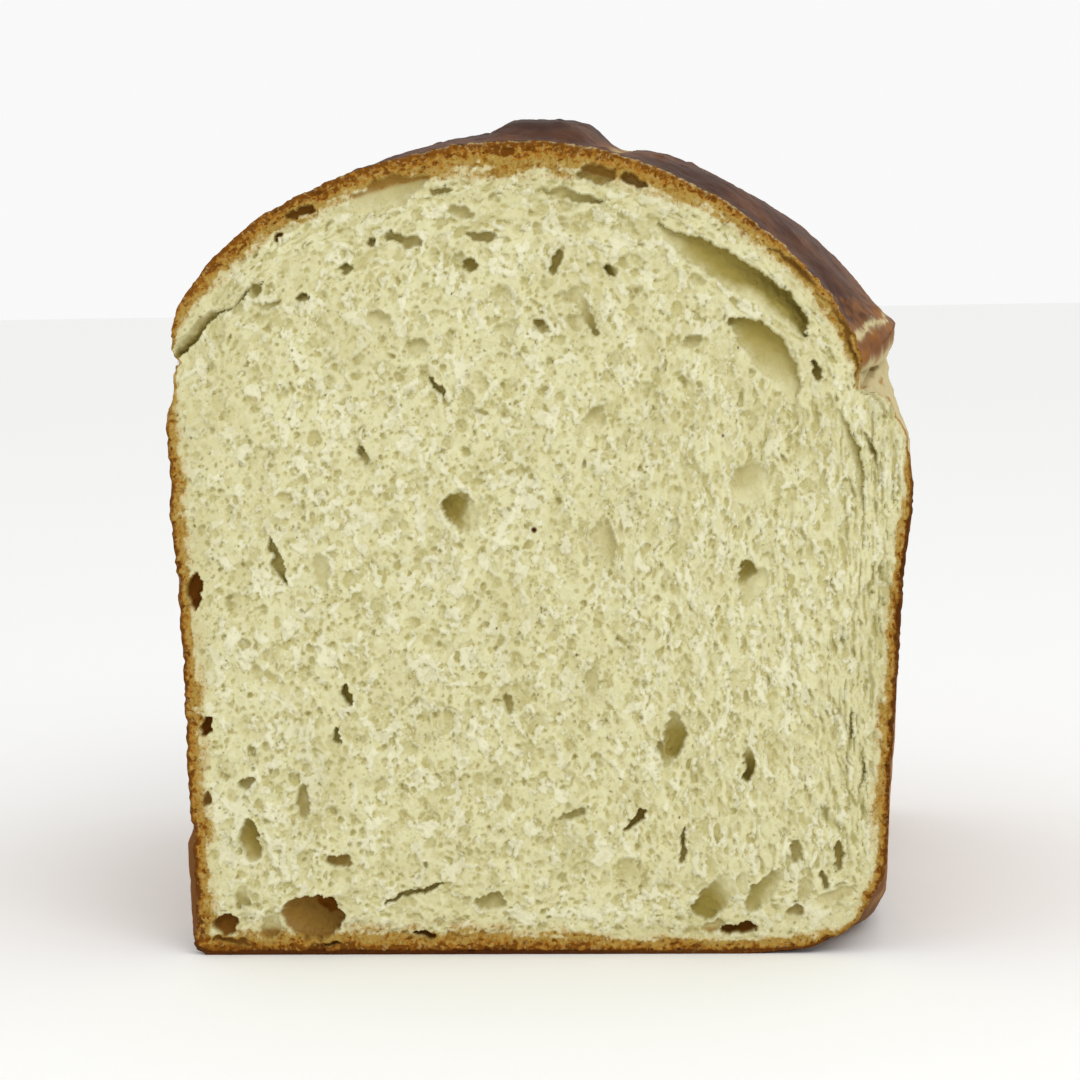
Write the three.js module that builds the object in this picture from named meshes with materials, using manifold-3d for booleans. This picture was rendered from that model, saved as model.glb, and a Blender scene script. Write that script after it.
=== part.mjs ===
// A tin loaf with one end cut off: a straight, slightly tapered tin-baked body, a domed crown
// that rolls over the rim in a lip, and a flat cut face that shows the larger holes of the crumb.
// Millimetres, +Z up. The origin is the middle of the base. The cut face looks along -Y, and the
// baked heel is at +Y. In the functions, "depth" is the distance behind the cut face.
import * as THREE from "three";
import { mergeVertices } from "three/addons/utils/BufferGeometryUtils.js";
import Module from "manifold-3d";

// The whole, seen from above and along the middle.
const LENGTH = 140;
const RIM_HALF_WIDTH = 58;
const CORNER_RADIUS = 15;
const BASE_LINE_TO_HEEL = 45;
const CREST_X = -3;
const CREST_TO_HEEL = 42;
const CROWN_HEIGHT = 127.8;
const CROWN_SWELL = 1.4;
const WALL_DRAFT = 0.8;
const LIP_WAVE = 0.9;

// Each side, in the order of its profile: the foot's radius; how far the wall draws in from the
// rim to the foot; the rim, where the tin ended; the neck, where the torn band above the rim is
// narrowest; the lip, where the crown rolls over it; and the two powers that round the crown.
const SIDES = {
  left: {
    foot: 5, taper: 1.6, rim: 80, rimInset: 0, neck: 91.5, neckInset: 3,
    lip: 96.5, lipInset: 1.5, flatness: 1.95, shoulder: 1.6,
  },
  right: {
    foot: 6, taper: 4, rim: 73, rimInset: 0.2, neck: 91.3, neckInset: 5.4,
    lip: 96, lipInset: 2, flatness: 2.15, shoulder: 1.13,
  },
};

// The same at the cut, where the crown is lower and its right side is drawn in.
const SIDES_AT_CUT = {
  left: {
    foot: 3.5, taper: 2.8, rim: 84, rimInset: 0, neck: 93.5, neckInset: 2.1,
    lip: 97.1, lipInset: 1, flatness: 1.95, shoulder: 1.64,
  },
  right: {
    foot: 12.5, taper: 4.5, rim: 74, rimInset: 0.6, neck: 87.9, neckInset: 9,
    lip: 92, lipInset: 8.1, flatness: 1.9, shoulder: 1.5,
  },
};
const CUT_REACH = 11;
const CROWN_DROP_AT_CUT = 1;

// And at the heel, where the crown is even and round.
const HEEL_SHAPE = {
  foot: 5, taper: 3, rim: 78, rimInset: 0, neck: 91, neckInset: 3.4,
  lip: 96, lipInset: 1.6, flatness: 2.1, shoulder: 1.55,
};
const HEEL_SHAPE_FROM = 78;
const HEEL_SHAPE_BY = 132;

// A lengthwise split in the crown: its left side curls up as an ear over a torn furrow.
const EAR_RISE = 2.4;
const EAR_X = -0.4;
const EAR_HALF_WIDTH = 7.7;
const EAR_START = 3;
const EAR_END = 96;
const FURROW_DEPTH = 1.4;
const FURROW_X = 11.5;
const FURROW_HALF_WIDTH = 3;

// Mesh steps.
const SIDE_STEPS = 24;
const CORNER_STEPS = 7;
const HEEL_STEPS = 12;
const BASE_STEPS = 4;
const FOOT_STEPS = 4;
const WALL_STEPS = 7;
const SHRED_STEPS = 4;
const UNDERSIDE_STEPS = 3;
const DOME_STEPS = 18;
const HOLE_SIDES = 14;
const HOLE_RINGS = 8;

// The larger holes of the crumb in the cut face: middle x and z, half length, half width, the
// long axis's turn from +X towards +Z in degrees, and how far they go in.
const HOLES = [
  [31.6, 104.5, 13, 2.7, -38, 4.6],
  [35.1, 92.5, 6.5, 3.8, -53, 2.8],
  [-22.5, 119, 7, 2.1, 17, 2.2],
  [-36.4, 6.6, 4.7, 3.3, -6, 4.5],
  [26.5, 9.1, 4.4, 2.5, 45, 3.2],
  [33.9, 9.8, 4.4, 1.9, 45, 2.8],
  [-46.4, 18.2, 3.5, 1.5, 83, 2.6],
  [20, 33.8, 4.2, 1.8, 79, 2.8],
  [-12.5, 69.9, 2.9, 2.3, 59, 2.6],
  [10.1, 64.9, 3.3, 1.4, 99, 1.6],
  [31.8, 58, 3.7, 1, 81, 2.2],
  [10.3, 121, 3.1, 1.1, -6, 2],
  [5.8, 118, 4.8, 0.9, -13, 1.8],
  [-50.6, 5, 1.8, 1.6, 0, 2.2],
  [-37.4, 23.7, 2.9, 1, 83, 2],
  [-8.5, 8.5, 2.7, 1.5, -5, 1.8],
  [48.9, 75.9, 4.8, 1, 85, 1.8],
];

// The split between the lip and the body on the left of the cut face: its mouth, its inner end,
// half its widest gap, and how far it goes in.
const SPLIT = { mouth: [-56.6, 94], end: [-50, 101], halfGap: 1.2, depth: 5 };

const mix = (a, b, t) => a + (b - a) * t;
const degrees = (angle) => (angle * Math.PI) / 180;
const bell = (distance) => Math.exp(-distance * distance);

// 0 below the first edge, 1 above the second, and smooth between them.
function smoothstep(from, to, value) {
  const t = Math.min(1, Math.max(0, (value - from) / (to - from)));
  return t * t * (3 - 2 * t);
}

// The stations of the path round the rim, seen from above: back along the right side, round the
// heel, and forward along the left side. Each has its place and its outward direction.
function rimStations() {
  const corner = { x: RIM_HALF_WIDTH - CORNER_RADIUS, y: LENGTH - CORNER_RADIUS };
  const right = [];
  for (let i = 0; i < SIDE_STEPS; i++) {
    const depth = corner.y * (i / SIDE_STEPS) ** 1.35;
    right.push({ x: RIM_HALF_WIDTH, depth, nx: 1, ny: 0 });
  }
  for (let i = 0; i < CORNER_STEPS; i++) {
    const turn = degrees((90 * i) / CORNER_STEPS);
    const [nx, ny] = [Math.cos(turn), Math.sin(turn)];
    right.push({ x: corner.x + CORNER_RADIUS * nx, depth: corner.y + CORNER_RADIUS * ny, nx, ny });
  }
  for (let i = 0; i < HEEL_STEPS / 2; i++) {
    const x = mix(corner.x, 0, (2 * i) / HEEL_STEPS);
    right.push({ x, depth: corner.y + CORNER_RADIUS, nx: 0, ny: 1 });
  }
  const middle = { x: 0, depth: corner.y + CORNER_RADIUS, nx: 0, ny: 1 };
  const left = right.map((s) => ({ ...s, x: -s.x, nx: -s.nx })).reverse();
  return [...right, middle, ...left];
}

const mixShapes = (a, b, t) =>
  Object.fromEntries(Object.keys(a).map((key) => [key, mix(a[key], b[key], t)]));

// The profile's sizes at a station: each side has its own shape at the cut and another behind it,
// and both turn into the heel's.
function shapeAt(station) {
  const leftness = 0.5 - station.x / (2 * RIM_HALF_WIDTH);
  const side = leftness < 0.5 ? "right" : "left";
  const nearHeel = smoothstep(HEEL_SHAPE_FROM, HEEL_SHAPE_BY, station.depth);
  const nearCut = bell(station.depth / CUT_REACH);
  const behind = mixShapes(SIDES[side], HEEL_SHAPE, nearHeel);
  const shape = mixShapes(behind, SIDES_AT_CUT[side], nearCut);
  const along = station.depth + 2 * RIM_HALF_WIDTH * leftness;
  const wave = LIP_WAVE * (1 - nearCut) * (Math.sin(along / 13) + 0.6 * Math.sin(along / 5.3 + 2));
  shape.rim += wave;
  shape.neck += wave;
  shape.lip += wave;
  return shape;
}

// The ear and the furrow beside it, as a height added to the crown.
function splitRise(x, depth) {
  const start = smoothstep(EAR_START, EAR_START + 9, depth);
  const end = smoothstep(EAR_END, EAR_END - 26, depth);
  const drift = 1.6 * Math.sin(depth / 21);
  const ear = bell(((x - EAR_X - drift) / EAR_HALF_WIDTH) ** 3);
  const furrow = bell((x - FURROW_X - drift) / FURROW_HALF_WIDTH);
  return start * end * (EAR_RISE * ear - FURROW_DEPTH * furrow);
}

function crestHeight(depth) {
  const swell = Math.sin((Math.PI * depth) / (LENGTH - CREST_TO_HEEL + 32));
  return CROWN_HEIGHT + CROWN_SWELL * swell - CROWN_DROP_AT_CUT * bell(depth / CUT_REACH);
}

const inFrame = (x, depth, z) => [x, depth - LENGTH / 2, z];

// One upright profile of the loaf: from the middle line of the base out to the foot, up the wall,
// in over the torn band, out round the lip, and over the crown to the crest.
function profileAt(station) {
  const shape = shapeAt(station);
  const row = [];
  const inset = (distance, z) =>
    row.push(inFrame(station.x - station.nx * distance, station.depth - station.ny * distance, z));

  const wallInset = shape.rimInset + shape.taper;
  const footInset = wallInset + shape.foot;
  const baseLineDepth = Math.min(station.depth, LENGTH - BASE_LINE_TO_HEEL);
  for (let i = 0; i < BASE_STEPS; i++) {
    const t = i / BASE_STEPS;
    const x = mix(CREST_X, station.x - station.nx * footInset, t);
    row.push(inFrame(x, mix(baseLineDepth, station.depth - station.ny * footInset, t), 0));
  }
  for (let i = 0; i < FOOT_STEPS; i++) {
    const turn = degrees((90 * i) / FOOT_STEPS);
    inset(footInset - shape.foot * Math.sin(turn), shape.foot * (1 - Math.cos(turn)));
  }
  for (let i = 0; i < WALL_STEPS; i++) {
    const t = i / WALL_STEPS;
    inset(shape.rimInset + shape.taper * (1 - t) ** WALL_DRAFT, mix(shape.foot, shape.rim, t));
  }
  for (let i = 0; i < SHRED_STEPS; i++) {
    const turn = degrees((90 * i) / SHRED_STEPS);
    const distance = mix(shape.rimInset, shape.neckInset, 1 - Math.cos(turn));
    inset(distance, mix(shape.rim, shape.neck, Math.sin(turn) ** (2 / 3)));
  }
  for (let i = 0; i < UNDERSIDE_STEPS; i++) {
    const turn = degrees((90 * i) / UNDERSIDE_STEPS);
    const distance = mix(shape.neckInset, shape.lipInset, Math.sin(turn));
    inset(distance, mix(shape.lip, shape.neck, Math.cos(turn)));
  }
  const crestDepth = Math.min(station.depth, LENGTH - CREST_TO_HEEL);
  const run = {
    x: station.x - station.nx * shape.lipInset - CREST_X,
    depth: station.depth - station.ny * shape.lipInset - crestDepth,
  };
  // Over the heel's corners the crown is rounder than the rim below it.
  const overCorner = Math.max(0, Math.hypot(run.x / RIM_HALF_WIDTH, run.depth / CREST_TO_HEEL) - 1);
  for (let i = 0; i <= DOME_STEPS; i++) {
    const reach = i < DOME_STEPS ? Math.cos(degrees((90 * i) / DOME_STEPS)) : 0;
    const rounded = Math.min(1, reach * (1 + overCorner * (1 - reach * reach)));
    const rise = (1 - rounded ** shape.flatness) ** (1 / shape.shoulder);
    const [x, depth] = [CREST_X + run.x * reach, crestDepth + run.depth * reach];
    const height = mix(shape.lip, crestHeight(crestDepth), rise);
    row.push(inFrame(x, depth, height + splitRise(x, depth) * rise));
  }
  return row;
}

// The faces between neighbouring profiles, and the flat cut face that closes the first and last.
function loafGeometry() {
  const profiles = rimStations().map(profileAt);
  const last = profiles[0].length - 1;
  const corners = [];
  const face = (...points) => points.forEach((p) => corners.push(...p));
  for (let i = 0; i + 1 < profiles.length; i++) {
    const [a, b] = [profiles[i], profiles[i + 1]];
    for (let j = 0; j < last; j++) {
      face(a[j], b[j], b[j + 1]);
      face(a[j], b[j + 1], a[j + 1]);
    }
  }
  const outline = [...profiles[0], ...profiles.at(-1).slice(1, -1).reverse()];
  const flat = outline.map(([x, , z]) => new THREE.Vector2(x, z));
  for (const [a, b, c] of THREE.ShapeUtils.triangulateShape(flat, [])) {
    const turned = THREE.ShapeUtils.area([flat[a], flat[b], flat[c]]) < 0;
    face(outline[a], outline[turned ? c : b], outline[turned ? b : c]);
  }
  const positions = new THREE.Float32BufferAttribute(corners, 3);
  return new THREE.BufferGeometry().setAttribute("position", positions);
}

// One hole: an ellipsoid with its middle on the cut face.
function holeGeometry([x, z, halfLength, halfWidth, turn, depth]) {
  return new THREE.SphereGeometry(1, HOLE_SIDES, HOLE_RINGS)
    .scale(halfLength, depth, halfWidth)
    .rotateY(-degrees(turn))
    .translate(...inFrame(x, 0, z));
}

// The split beside the left lip: a thin leaf-shaped wedge cut straight into the face.
function splitGeometry() {
  const [mouth, end] = [new THREE.Vector2(...SPLIT.mouth), new THREE.Vector2(...SPLIT.end)];
  const along = end.clone().sub(mouth);
  const across = new THREE.Vector2(-along.y, along.x).normalize().multiplyScalar(SPLIT.halfGap);
  const middle = mouth.clone().lerp(end, 0.45);
  const leaf = new THREE.Shape([
    mouth.clone().addScaledVector(across, -0.6),
    middle.clone().addScaledVector(across, -1),
    end,
    middle.clone().add(across),
    mouth.clone().addScaledVector(across, 0.6),
  ]);
  return new THREE.ExtrudeGeometry(leaf, { depth: SPLIT.depth + 2, bevelEnabled: false })
    .rotateX(Math.PI / 2)
    .translate(0, SPLIT.depth - LENGTH / 2, 0);
}

const wasm = await Module();
wasm.setup();

// A closed geometry as a manifold-3d solid, without the faces that merging leaves with no area.
function solidOf(geometry) {
  const bare = (geometry.index ? geometry.toNonIndexed() : geometry).clone();
  bare.deleteAttribute("normal");
  bare.deleteAttribute("uv");
  const merged = mergeVertices(bare, 1e-3);
  const faces = [];
  for (let i = 0; i < merged.index.count; i += 3) {
    const [a, b, c] = [0, 1, 2].map((k) => merged.index.getX(i + k));
    if (a !== b && b !== c && c !== a) faces.push(a, b, c);
  }
  const vertProperties = merged.attributes.position.array;
  const triVerts = new Uint32Array(faces);
  return new wasm.Manifold(new wasm.Mesh({ numProp: 3, vertProperties, triVerts }));
}

function geometryOf(solid) {
  const mesh = solid.getMesh();
  const geometry = new THREE.BufferGeometry()
    .setAttribute("position", new THREE.BufferAttribute(mesh.vertProperties, 3))
    .setIndex(new THREE.BufferAttribute(mesh.triVerts, 1));
  geometry.computeVertexNormals();
  return geometry;
}

function loafMesh() {
  const holes = [...HOLES.map(holeGeometry), splitGeometry()].map(solidOf);
  const solid = holes.reduce((body, hole) => body.subtract(hole), solidOf(loafGeometry()));
  const crust = new THREE.MeshStandardMaterial({ color: 0x8a5526, roughness: 0.6, metalness: 0 });
  const mesh = new THREE.Mesh(geometryOf(solid), crust);
  mesh.name = "loaf";
  return mesh;
}

const loaf = new THREE.Group();
loaf.add(loafMesh());

export default loaf;
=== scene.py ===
"""A cut tin loaf: a browned skin in two swept pieces, and the open crumb of the cut face.

Shapes are worked out in millimetres. "Depth" is the distance behind the cut face, which looks
along -Y. "Band" runs up one upright profile of the loaf: 0 the middle line of the base, 1 where
the foot starts to round, 2 where the wall starts, 3 the rim, where the tin ended, 4 the neck of
the torn band above it, 5 the lip of the crown, and 6 the crest.
"""

import math
from types import SimpleNamespace

import bmesh
import bpy
import numpy as np
from bpy.props import FloatProperty, FloatVectorProperty, IntProperty, PointerProperty
from mathutils import Matrix, Vector


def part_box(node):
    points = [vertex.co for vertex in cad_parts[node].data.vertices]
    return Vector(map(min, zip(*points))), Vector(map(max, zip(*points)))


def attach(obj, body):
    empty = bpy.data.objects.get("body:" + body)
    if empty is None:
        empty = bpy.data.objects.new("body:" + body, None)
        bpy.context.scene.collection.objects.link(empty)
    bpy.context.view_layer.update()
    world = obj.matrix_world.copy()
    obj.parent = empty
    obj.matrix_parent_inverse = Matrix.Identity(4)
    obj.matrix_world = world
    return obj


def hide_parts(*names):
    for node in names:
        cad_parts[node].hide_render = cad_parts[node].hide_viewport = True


bl_info = {
    "name": "Tin Loaf",
    "version": (1, 0, 0),
    "blender": (4, 5, 0),
    "location": "View3D > Sidebar > Tin Loaf",
    "description": "Makes a cut tin loaf with a roasted crust and an open crumb",
    "category": "Object",
}

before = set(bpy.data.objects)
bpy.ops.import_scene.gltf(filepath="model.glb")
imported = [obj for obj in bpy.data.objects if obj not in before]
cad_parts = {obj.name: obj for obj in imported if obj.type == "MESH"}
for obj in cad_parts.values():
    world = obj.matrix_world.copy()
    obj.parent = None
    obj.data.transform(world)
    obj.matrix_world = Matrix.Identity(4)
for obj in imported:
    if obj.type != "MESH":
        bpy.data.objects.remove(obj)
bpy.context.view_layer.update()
NODE = "loaf"
NODE_LOW, NODE_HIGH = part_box(NODE)

MM = 0.001
SEED = 20

# The profile's sizes on each side, as the solid has them: just behind the cut, at the cut, and at
# the heel. Insets are measured in from the widest outline.
SHAPE_KEYS = (
    "foot", "taper", "rim", "rim_inset", "neck", "neck_inset",
    "lip", "lip_inset", "flatness", "shoulder",
)
BEHIND_CUT = {
    "left": (5, 1.6, 80, 0, 91.5, 3, 96.5, 1.5, 1.95, 1.6),
    "right": (6, 4, 73, 0.2, 91.3, 5.4, 96, 2, 2.15, 1.13),
}
AT_CUT = {
    "left": (3.5, 2.8, 84, 0, 93.5, 2.1, 97.1, 1, 1.95, 1.64),
    "right": (12.5, 4.5, 74, 0.6, 87.9, 9, 92, 8.1, 1.9, 1.5),
}
AT_HEEL = (5, 3, 78, 0, 91, 3.4, 96, 1.6, 2.1, 1.55)
CUT_REACH = 11
HEEL_FROM, HEEL_BY = 78, 132
WALL_DRAFT = 0.8
CREST_X = -3
BASE_LINE_TO_HEEL = 45
CREST_TO_HEEL = 42
SWELL_TO_HEEL = 10
CROWN_DROP_AT_CUT = 1
FOOT_OUT = 1.2
FURROW_X, FURROW_HALF_WIDTH, FURROW_DEPTH = 11.5, 3, 1.4
EAR_X, EAR_HALF_WIDTH = -0.4, 7.7

# The split opens over its first stretch, closes over its last, and wanders to each side.
SPLIT_START, SPLIT_OPEN, SPLIT_CLOSING, SPLIT_END = 3, 12, 70, 96
SPLIT_DRIFT, SPLIT_WAVE = 1.6, 21

# How thick the browned edge of the cut face is, in millimetres, at these bands of each side.
CRUST_BANDS = (0, 1, 1.5, 2, 2.9, 3.2, 4, 4.6, 5, 5.25, 5.6, 6)
CRUST_THICK = {
    "left": (3.0, 3.2, 3.0, 2.8, 2.4, 1.2, 0.4, 0.5, 1.0, 2.7, 3.4, 4.6),
    "right": (2.8, 1.9, 1.1, 2.2, 1.5, 0.5, 0.4, 1.1, 2.3, 2.7, 3.0, 4.6),
}
# How darkly it is baked there, from 0, not browned, over 0.4, golden, to 1, dark.
CRUST_CHAR = {
    "left": (1.0, 0.9, 0.8, 0.5, 0.45, 0.1, 0.0, 0.05, 0.15, 0.6, 0.65, 0.7),
    "right": (1.0, 0.6, 0.3, 0.5, 0.85, 0.0, 0.0, 0.05, 0.25, 0.35, 0.5, 0.7),
}

# The hollows of the crumb that stand out: middle x and z, half length, half width, the long
# axis's turn from +X towards +Z in degrees, depth, the way its deep side looks, in degrees, how
# much it leans that way, and how browned it is inside.
HOLLOW_KEYS = ("x", "z", "length", "width", "turn", "depth", "deep", "lean", "brown")
HOLLOWS = (
    (-22.5, 119.0, 7.0, 2.1, 17, 1.2, 60, 0.5, 0.1),
    (-37.0, 6.2, 4.7, 3.2, -8, 3.6, 30, 0.7, 0.66),
    (-34.6, 7.6, 1.9, 1.5, -30, 4.2, 30, 0.3, 1.0),
    (26.6, 9.0, 4.6, 2.3, 47, 1.9, 215, 0.95, 0.05),
    (34.2, 9.8, 4.2, 1.6, 48, 1.6, 150, 0.95, 0.05),
    (-46.4, 18.2, 3.5, 1.5, 97, 2.2, 30, 0.5, 0.25),
    (-38.2, 23.9, 2.9, 1.0, 93, 1.6, 180, 0.4, 0.15),
    (20.3, 34.2, 4.0, 1.7, 83, 2.4, 270, 0.5, 0.1),
    (18.8, 31.6, 2.2, 1.1, 120, 1.6, 200, 0.8, 0.1),
    (-12.3, 69.7, 3.3, 2.3, -52, 2.1, 170, 0.95, 0.1),
    (10.1, 64.9, 3.3, 1.4, 99, 1.2, 20, 0.6, 0.0),
    (31.7, 59.2, 2.6, 1.0, 84, 2.0, 120, 0.6, 0.05),
    (32.8, 57.5, 3.1, 1.6, 62, 0.9, 150, 0.9, 0.0),
    (32.6, 73.4, 3.4, 2.9, 40, 1.0, 130, 0.8, 0.0),
    (10.0, 121.4, 3.2, 1.1, -6, 2.1, 90, 0.5, 0.4),
    (15.6, 120.2, 1.9, 0.8, -14, 1.9, 90, 0.4, 0.45),
    (5.8, 118.2, 4.8, 0.8, -13, 1.6, 60, 0.4, 0.12),
    (-50.6, 5.0, 1.8, 1.5, 10, 2.4, 90, 0.3, 0.8),
    (-50.0, 2.3, 3.0, 0.7, -14, 1.0, 90, 0.3, 0.8),
    (-8.8, 8.5, 2.6, 1.2, -5, 1.6, 90, 0.6, 0.1),
    (-20.5, 9.8, 4.9, 0.5, 22, 1.8, 100, 0.3, 0.2),
    (14.2, 21.5, 2.5, 0.7, 40, 2.6, 120, 0.3, 0.4),
    (30.2, 4.0, 2.9, 0.9, 12, 2.8, 100, 0.5, 0.85),
    (26.0, 4.4, 2.6, 0.7, 10, 1.2, 90, 0.3, 0.3),
    (-41.4, 62.4, 3.9, 0.6, -73, 1.8, 200, 0.4, 0.1),
    (31.6, 29.9, 2.7, 0.9, 84, 2.3, 270, 0.6, 0.1),
    (21.6, 16.8, 3.0, 0.5, 82, 1.8, 0, 0.3, 0.2),
    (39.4, 15.7, 1.9, 0.9, 95, 1.6, 180, 0.4, 0.1),
    (45.6, 15.4, 2.4, 0.5, 99, 2.0, 180, 0.3, 0.2),
    (43.8, 11.6, 1.6, 0.6, 90, 1.6, 180, 0.4, 0.1),
    (40.6, 9.9, 2.1, 1.1, 75, 1.0, 180, 0.6, 0.1),
    (38.6, 6.6, 1.3, 0.8, 10, 1.4, 90, 0.4, 0.3),
    (45.0, 9.0, 3.0, 0.9, 20, 0.8, 90, 0.4, 0.2),
    (-20.5, 111.9, 2.8, 0.8, -23, 1.7, 110, 0.3, 0.15),
    (-8.1, 112.1, 2.9, 0.8, -7, 1.7, 90, 0.3, 0.15),
    (-11.6, 116.2, 2.3, 0.9, -3, 1.4, 90, 0.4, 0.1),
    (-14.3, 118.9, 1.6, 0.6, 3, 1.4, 90, 0.4, 0.2),
    (-9.9, 108.0, 1.3, 1.1, 0, 2.0, 90, 0.4, 0.1),
    (3.4, 107.9, 1.9, 0.9, 60, 1.9, 150, 0.5, 0.1),
    (11.7, 106.6, 1.7, 1.0, -26, 1.9, 190, 0.8, 0.1),
    (7.4, 100.2, 3.9, 1.0, -60, 1.3, 300, 0.7, 0.1),
    (5.6, 103.0, 2.2, 0.9, 10, 0.9, 180, 0.4, 0.0),
    (42.9, 90.6, 1.6, 0.7, -65, 2.2, 180, 0.3, 0.2),
    (-36.0, 103.2, 0.9, 0.8, 49, 1.8, 90, 0.4, 0.2),
    (-29.5, 107.9, 1.2, 0.8, 0, 1.8, 90, 0.4, 0.1),
    (-25.3, 111.5, 1.0, 0.6, 0, 1.6, 90, 0.4, 0.1),
    (-36.3, 116.4, 2.2, 0.5, 26, 1.6, 60, 0.2, 0.8),
    (-39.6, 113.0, 1.1, 0.5, 40, 1.6, 60, 0.2, 0.8),
    (-27.8, 78.9, 1.9, 0.8, -71, 1.6, 90, 0.4, 0.1),
    (9.0, 83.8, 1.9, 1.3, 29, 1.1, 90, 0.6, 0.1),
    (-15.7, 89.3, 2.3, 0.5, -46, 1.8, 45, 0.3, 0.1),
    (-30.7, 41.2, 1.9, 0.7, -71, 2.4, 180, 0.3, 0.2),
    (-32.3, 34.3, 1.3, 0.5, -75, 1.8, 180, 0.3, 0.2),
    (-5.3, 39.6, 1.9, 0.9, -76, 1.6, 180, 0.5, 0.1),
    (-46.8, 27.6, 1.2, 0.8, 0, 1.4, 90, 0.4, 0.2),
    (-32.7, 14.8, 1.6, 0.8, -10, 1.8, 90, 0.4, 0.5),
    (4.3, 21.9, 2.0, 0.8, 15, 1.5, 90, 0.5, 0.1),
    (-54.3, 57.6, 3.0, 0.9, 86, 2.4, 180, 0.2, 1.0),
    (-52.7, 36.4, 1.8, 0.8, 55, 2.2, 180, 0.2, 1.0),
    (-53.0, 25.0, 1.1, 0.7, 80, 1.4, 180, 0.2, 0.7),
    (7.9, 43.1, 2.3, 1.0, 87, 1.0, 180, 0.6, 0.0),
    (-34.1, 60.9, 2.8, 1.5, 95, 0.9, 180, 0.4, 0.0),
    (-43.9, 4.6, 2.2, 1.5, 65, 1.2, 270, 0.6, 0.15),
    (-48.2, 9.4, 1.9, 1.1, 75, 1.2, 270, 0.6, 0.15),
    (-34.2, 1.9, 1.4, 0.4, 8, 1.4, 90, 0.3, 0.9),
    (-19.4, 3.1, 2.2, 0.6, 5, 2.0, 90, 0.4, 0.9),
    (-24.4, 99.9, 1.9, 1.6, 20, 1.0, 90, 0.6, 0.0),
    (-19.0, 96.0, 1.6, 1.3, 0, 1.0, 90, 0.6, 0.0),
    (-43.6, 104.2, 1.0, 0.9, 60, 1.6, 60, 0.4, 0.1),
    (-41.6, 102.0, 2.2, 0.4, 30, 1.0, 60, 0.4, 0.1),
    (-5.0, 97.3, 1.9, 1.3, -30, 0.8, 90, 0.6, 0.0),
    (6.4, 98.6, 1.6, 1.2, -60, 1.0, 190, 0.6, 0.0),
    (0.7, 98.0, 1.1, 0.9, 0, 1.6, 90, 0.6, 0.2),
    (24.3, 95.6, 1.5, 1.0, 35, 1.2, 120, 0.5, 0.1),
)

# Longer hollows, each along a path from one end to the other: its points, its half width and
# depth at each, how gradual its floor is (0 flat with two walls, over 1 a slope with one), which
# side of the path is the deep one (1 left, -1 right), and how browned it is inside.
TROUGHS = (
    # The long hollow beside the crown's right shoulder, and the torn one under it.
    (((19.6, 112.9), (23.6, 110.2), (28.2, 107.4), (32.2, 104.6), (36.9, 101.2), (40.0, 98.3),
      (41.4, 96.2)), (0.5, 2.1, 2.6, 2.7, 2.7, 1.8, 0.3), (1.2, 2.4, 3.0, 3.8, 4.8, 4.4, 2.0),
     (0.5, 0.35, 0.35, 0.7, 1.4, 1.2, 0.8), 1, 0.0),
    (((30.0, 98.4), (33.0, 96.4), (35.6, 93.8), (37.6, 90.7), (39.2, 87.6), (39.9, 85.8)),
     (0.8, 2.6, 3.2, 2.7, 1.5, 0.3), (2.2, 2.6, 2.3, 1.9, 1.2, 0.5),
     (0.25, 0.3, 0.35, 0.4, 0.5, 0.5), 1, 0.0),
    # The gap where the golden skin has come away from the crumb, and the fold it ends in.
    (((36.0, 109.6), (39.1, 107.5), (41.1, 105.3), (42.9, 103.4), (45.3, 100.8), (47.1, 97.7),
      (48.3, 94.9), (48.9, 93.0), (48.9, 90.6), (48.2, 88.2)),
     (0.15, 0.45, 0.5, 0.15, 0.18, 0.3, 0.38, 0.42, 0.3, 0.12),
     (0.4, 0.9, 0.9, 0.4, 0.5, 0.8, 0.9, 0.9, 0.7, 0.3), (0.2,) * 10, 1, 0.75),
    (((48.2, 88.2), (51.2, 87.0), (53.0, 85.6), (54.2, 83.6)), (0.15, 0.3, 0.3, 0.15),
     (0.5, 0.6, 0.5, 0.3), (0.3,) * 4, -1, 0.25),
    # The split beside the left lip and the fine crack that it ends in.
    (((-57.2, 93.6), (-55.9, 95.6), (-53.4, 98.1), (-50.9, 100.6), (-49.4, 101.4),
      (-46.9, 102.6), (-44.6, 104.4), (-42.6, 105.6)),
     (1.1, 1.35, 1.0, 0.75, 0.24, 0.2, 0.24, 0.15), (2.6, 3.4, 2.8, 2.2, 1.6, 1.2, 1.4, 0.8),
     (1.4, 1.2, 0.9, 0.5, 0.3, 0.3, 0.3, 0.3), -1, 0.12),
    # Upright slits in the drawn-out crumb of the right side.
    (((45.8, 84.6), (47.4, 81.3), (48.7, 78.2), (49.5, 73.9), (49.6, 69.4)),
     (0.3, 0.8, 0.9, 0.8, 0.3), (0.6, 1.3, 1.8, 1.5, 0.6), (0.5,) * 5, 1, 0.0),
    (((50.3, 81.2), (51.2, 78.5), (51.9, 75.4)), (0.3, 0.55, 0.2), (1.0, 2.0, 0.8),
     (0.5,) * 3, 1, 0.1),
    (((48.0, 37.5), (47.6, 34.6), (47.7, 32.0)), (0.2, 0.4, 0.2), (1.0, 1.8, 0.8),
     (0.5,) * 3, 1, 0.1),
    (((49.6, 31.6), (49.3, 28.6), (49.2, 26.0)), (0.2, 0.35, 0.15), (0.8, 1.4, 0.8),
     (0.5,) * 3, 1, 0.3),
)

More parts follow.
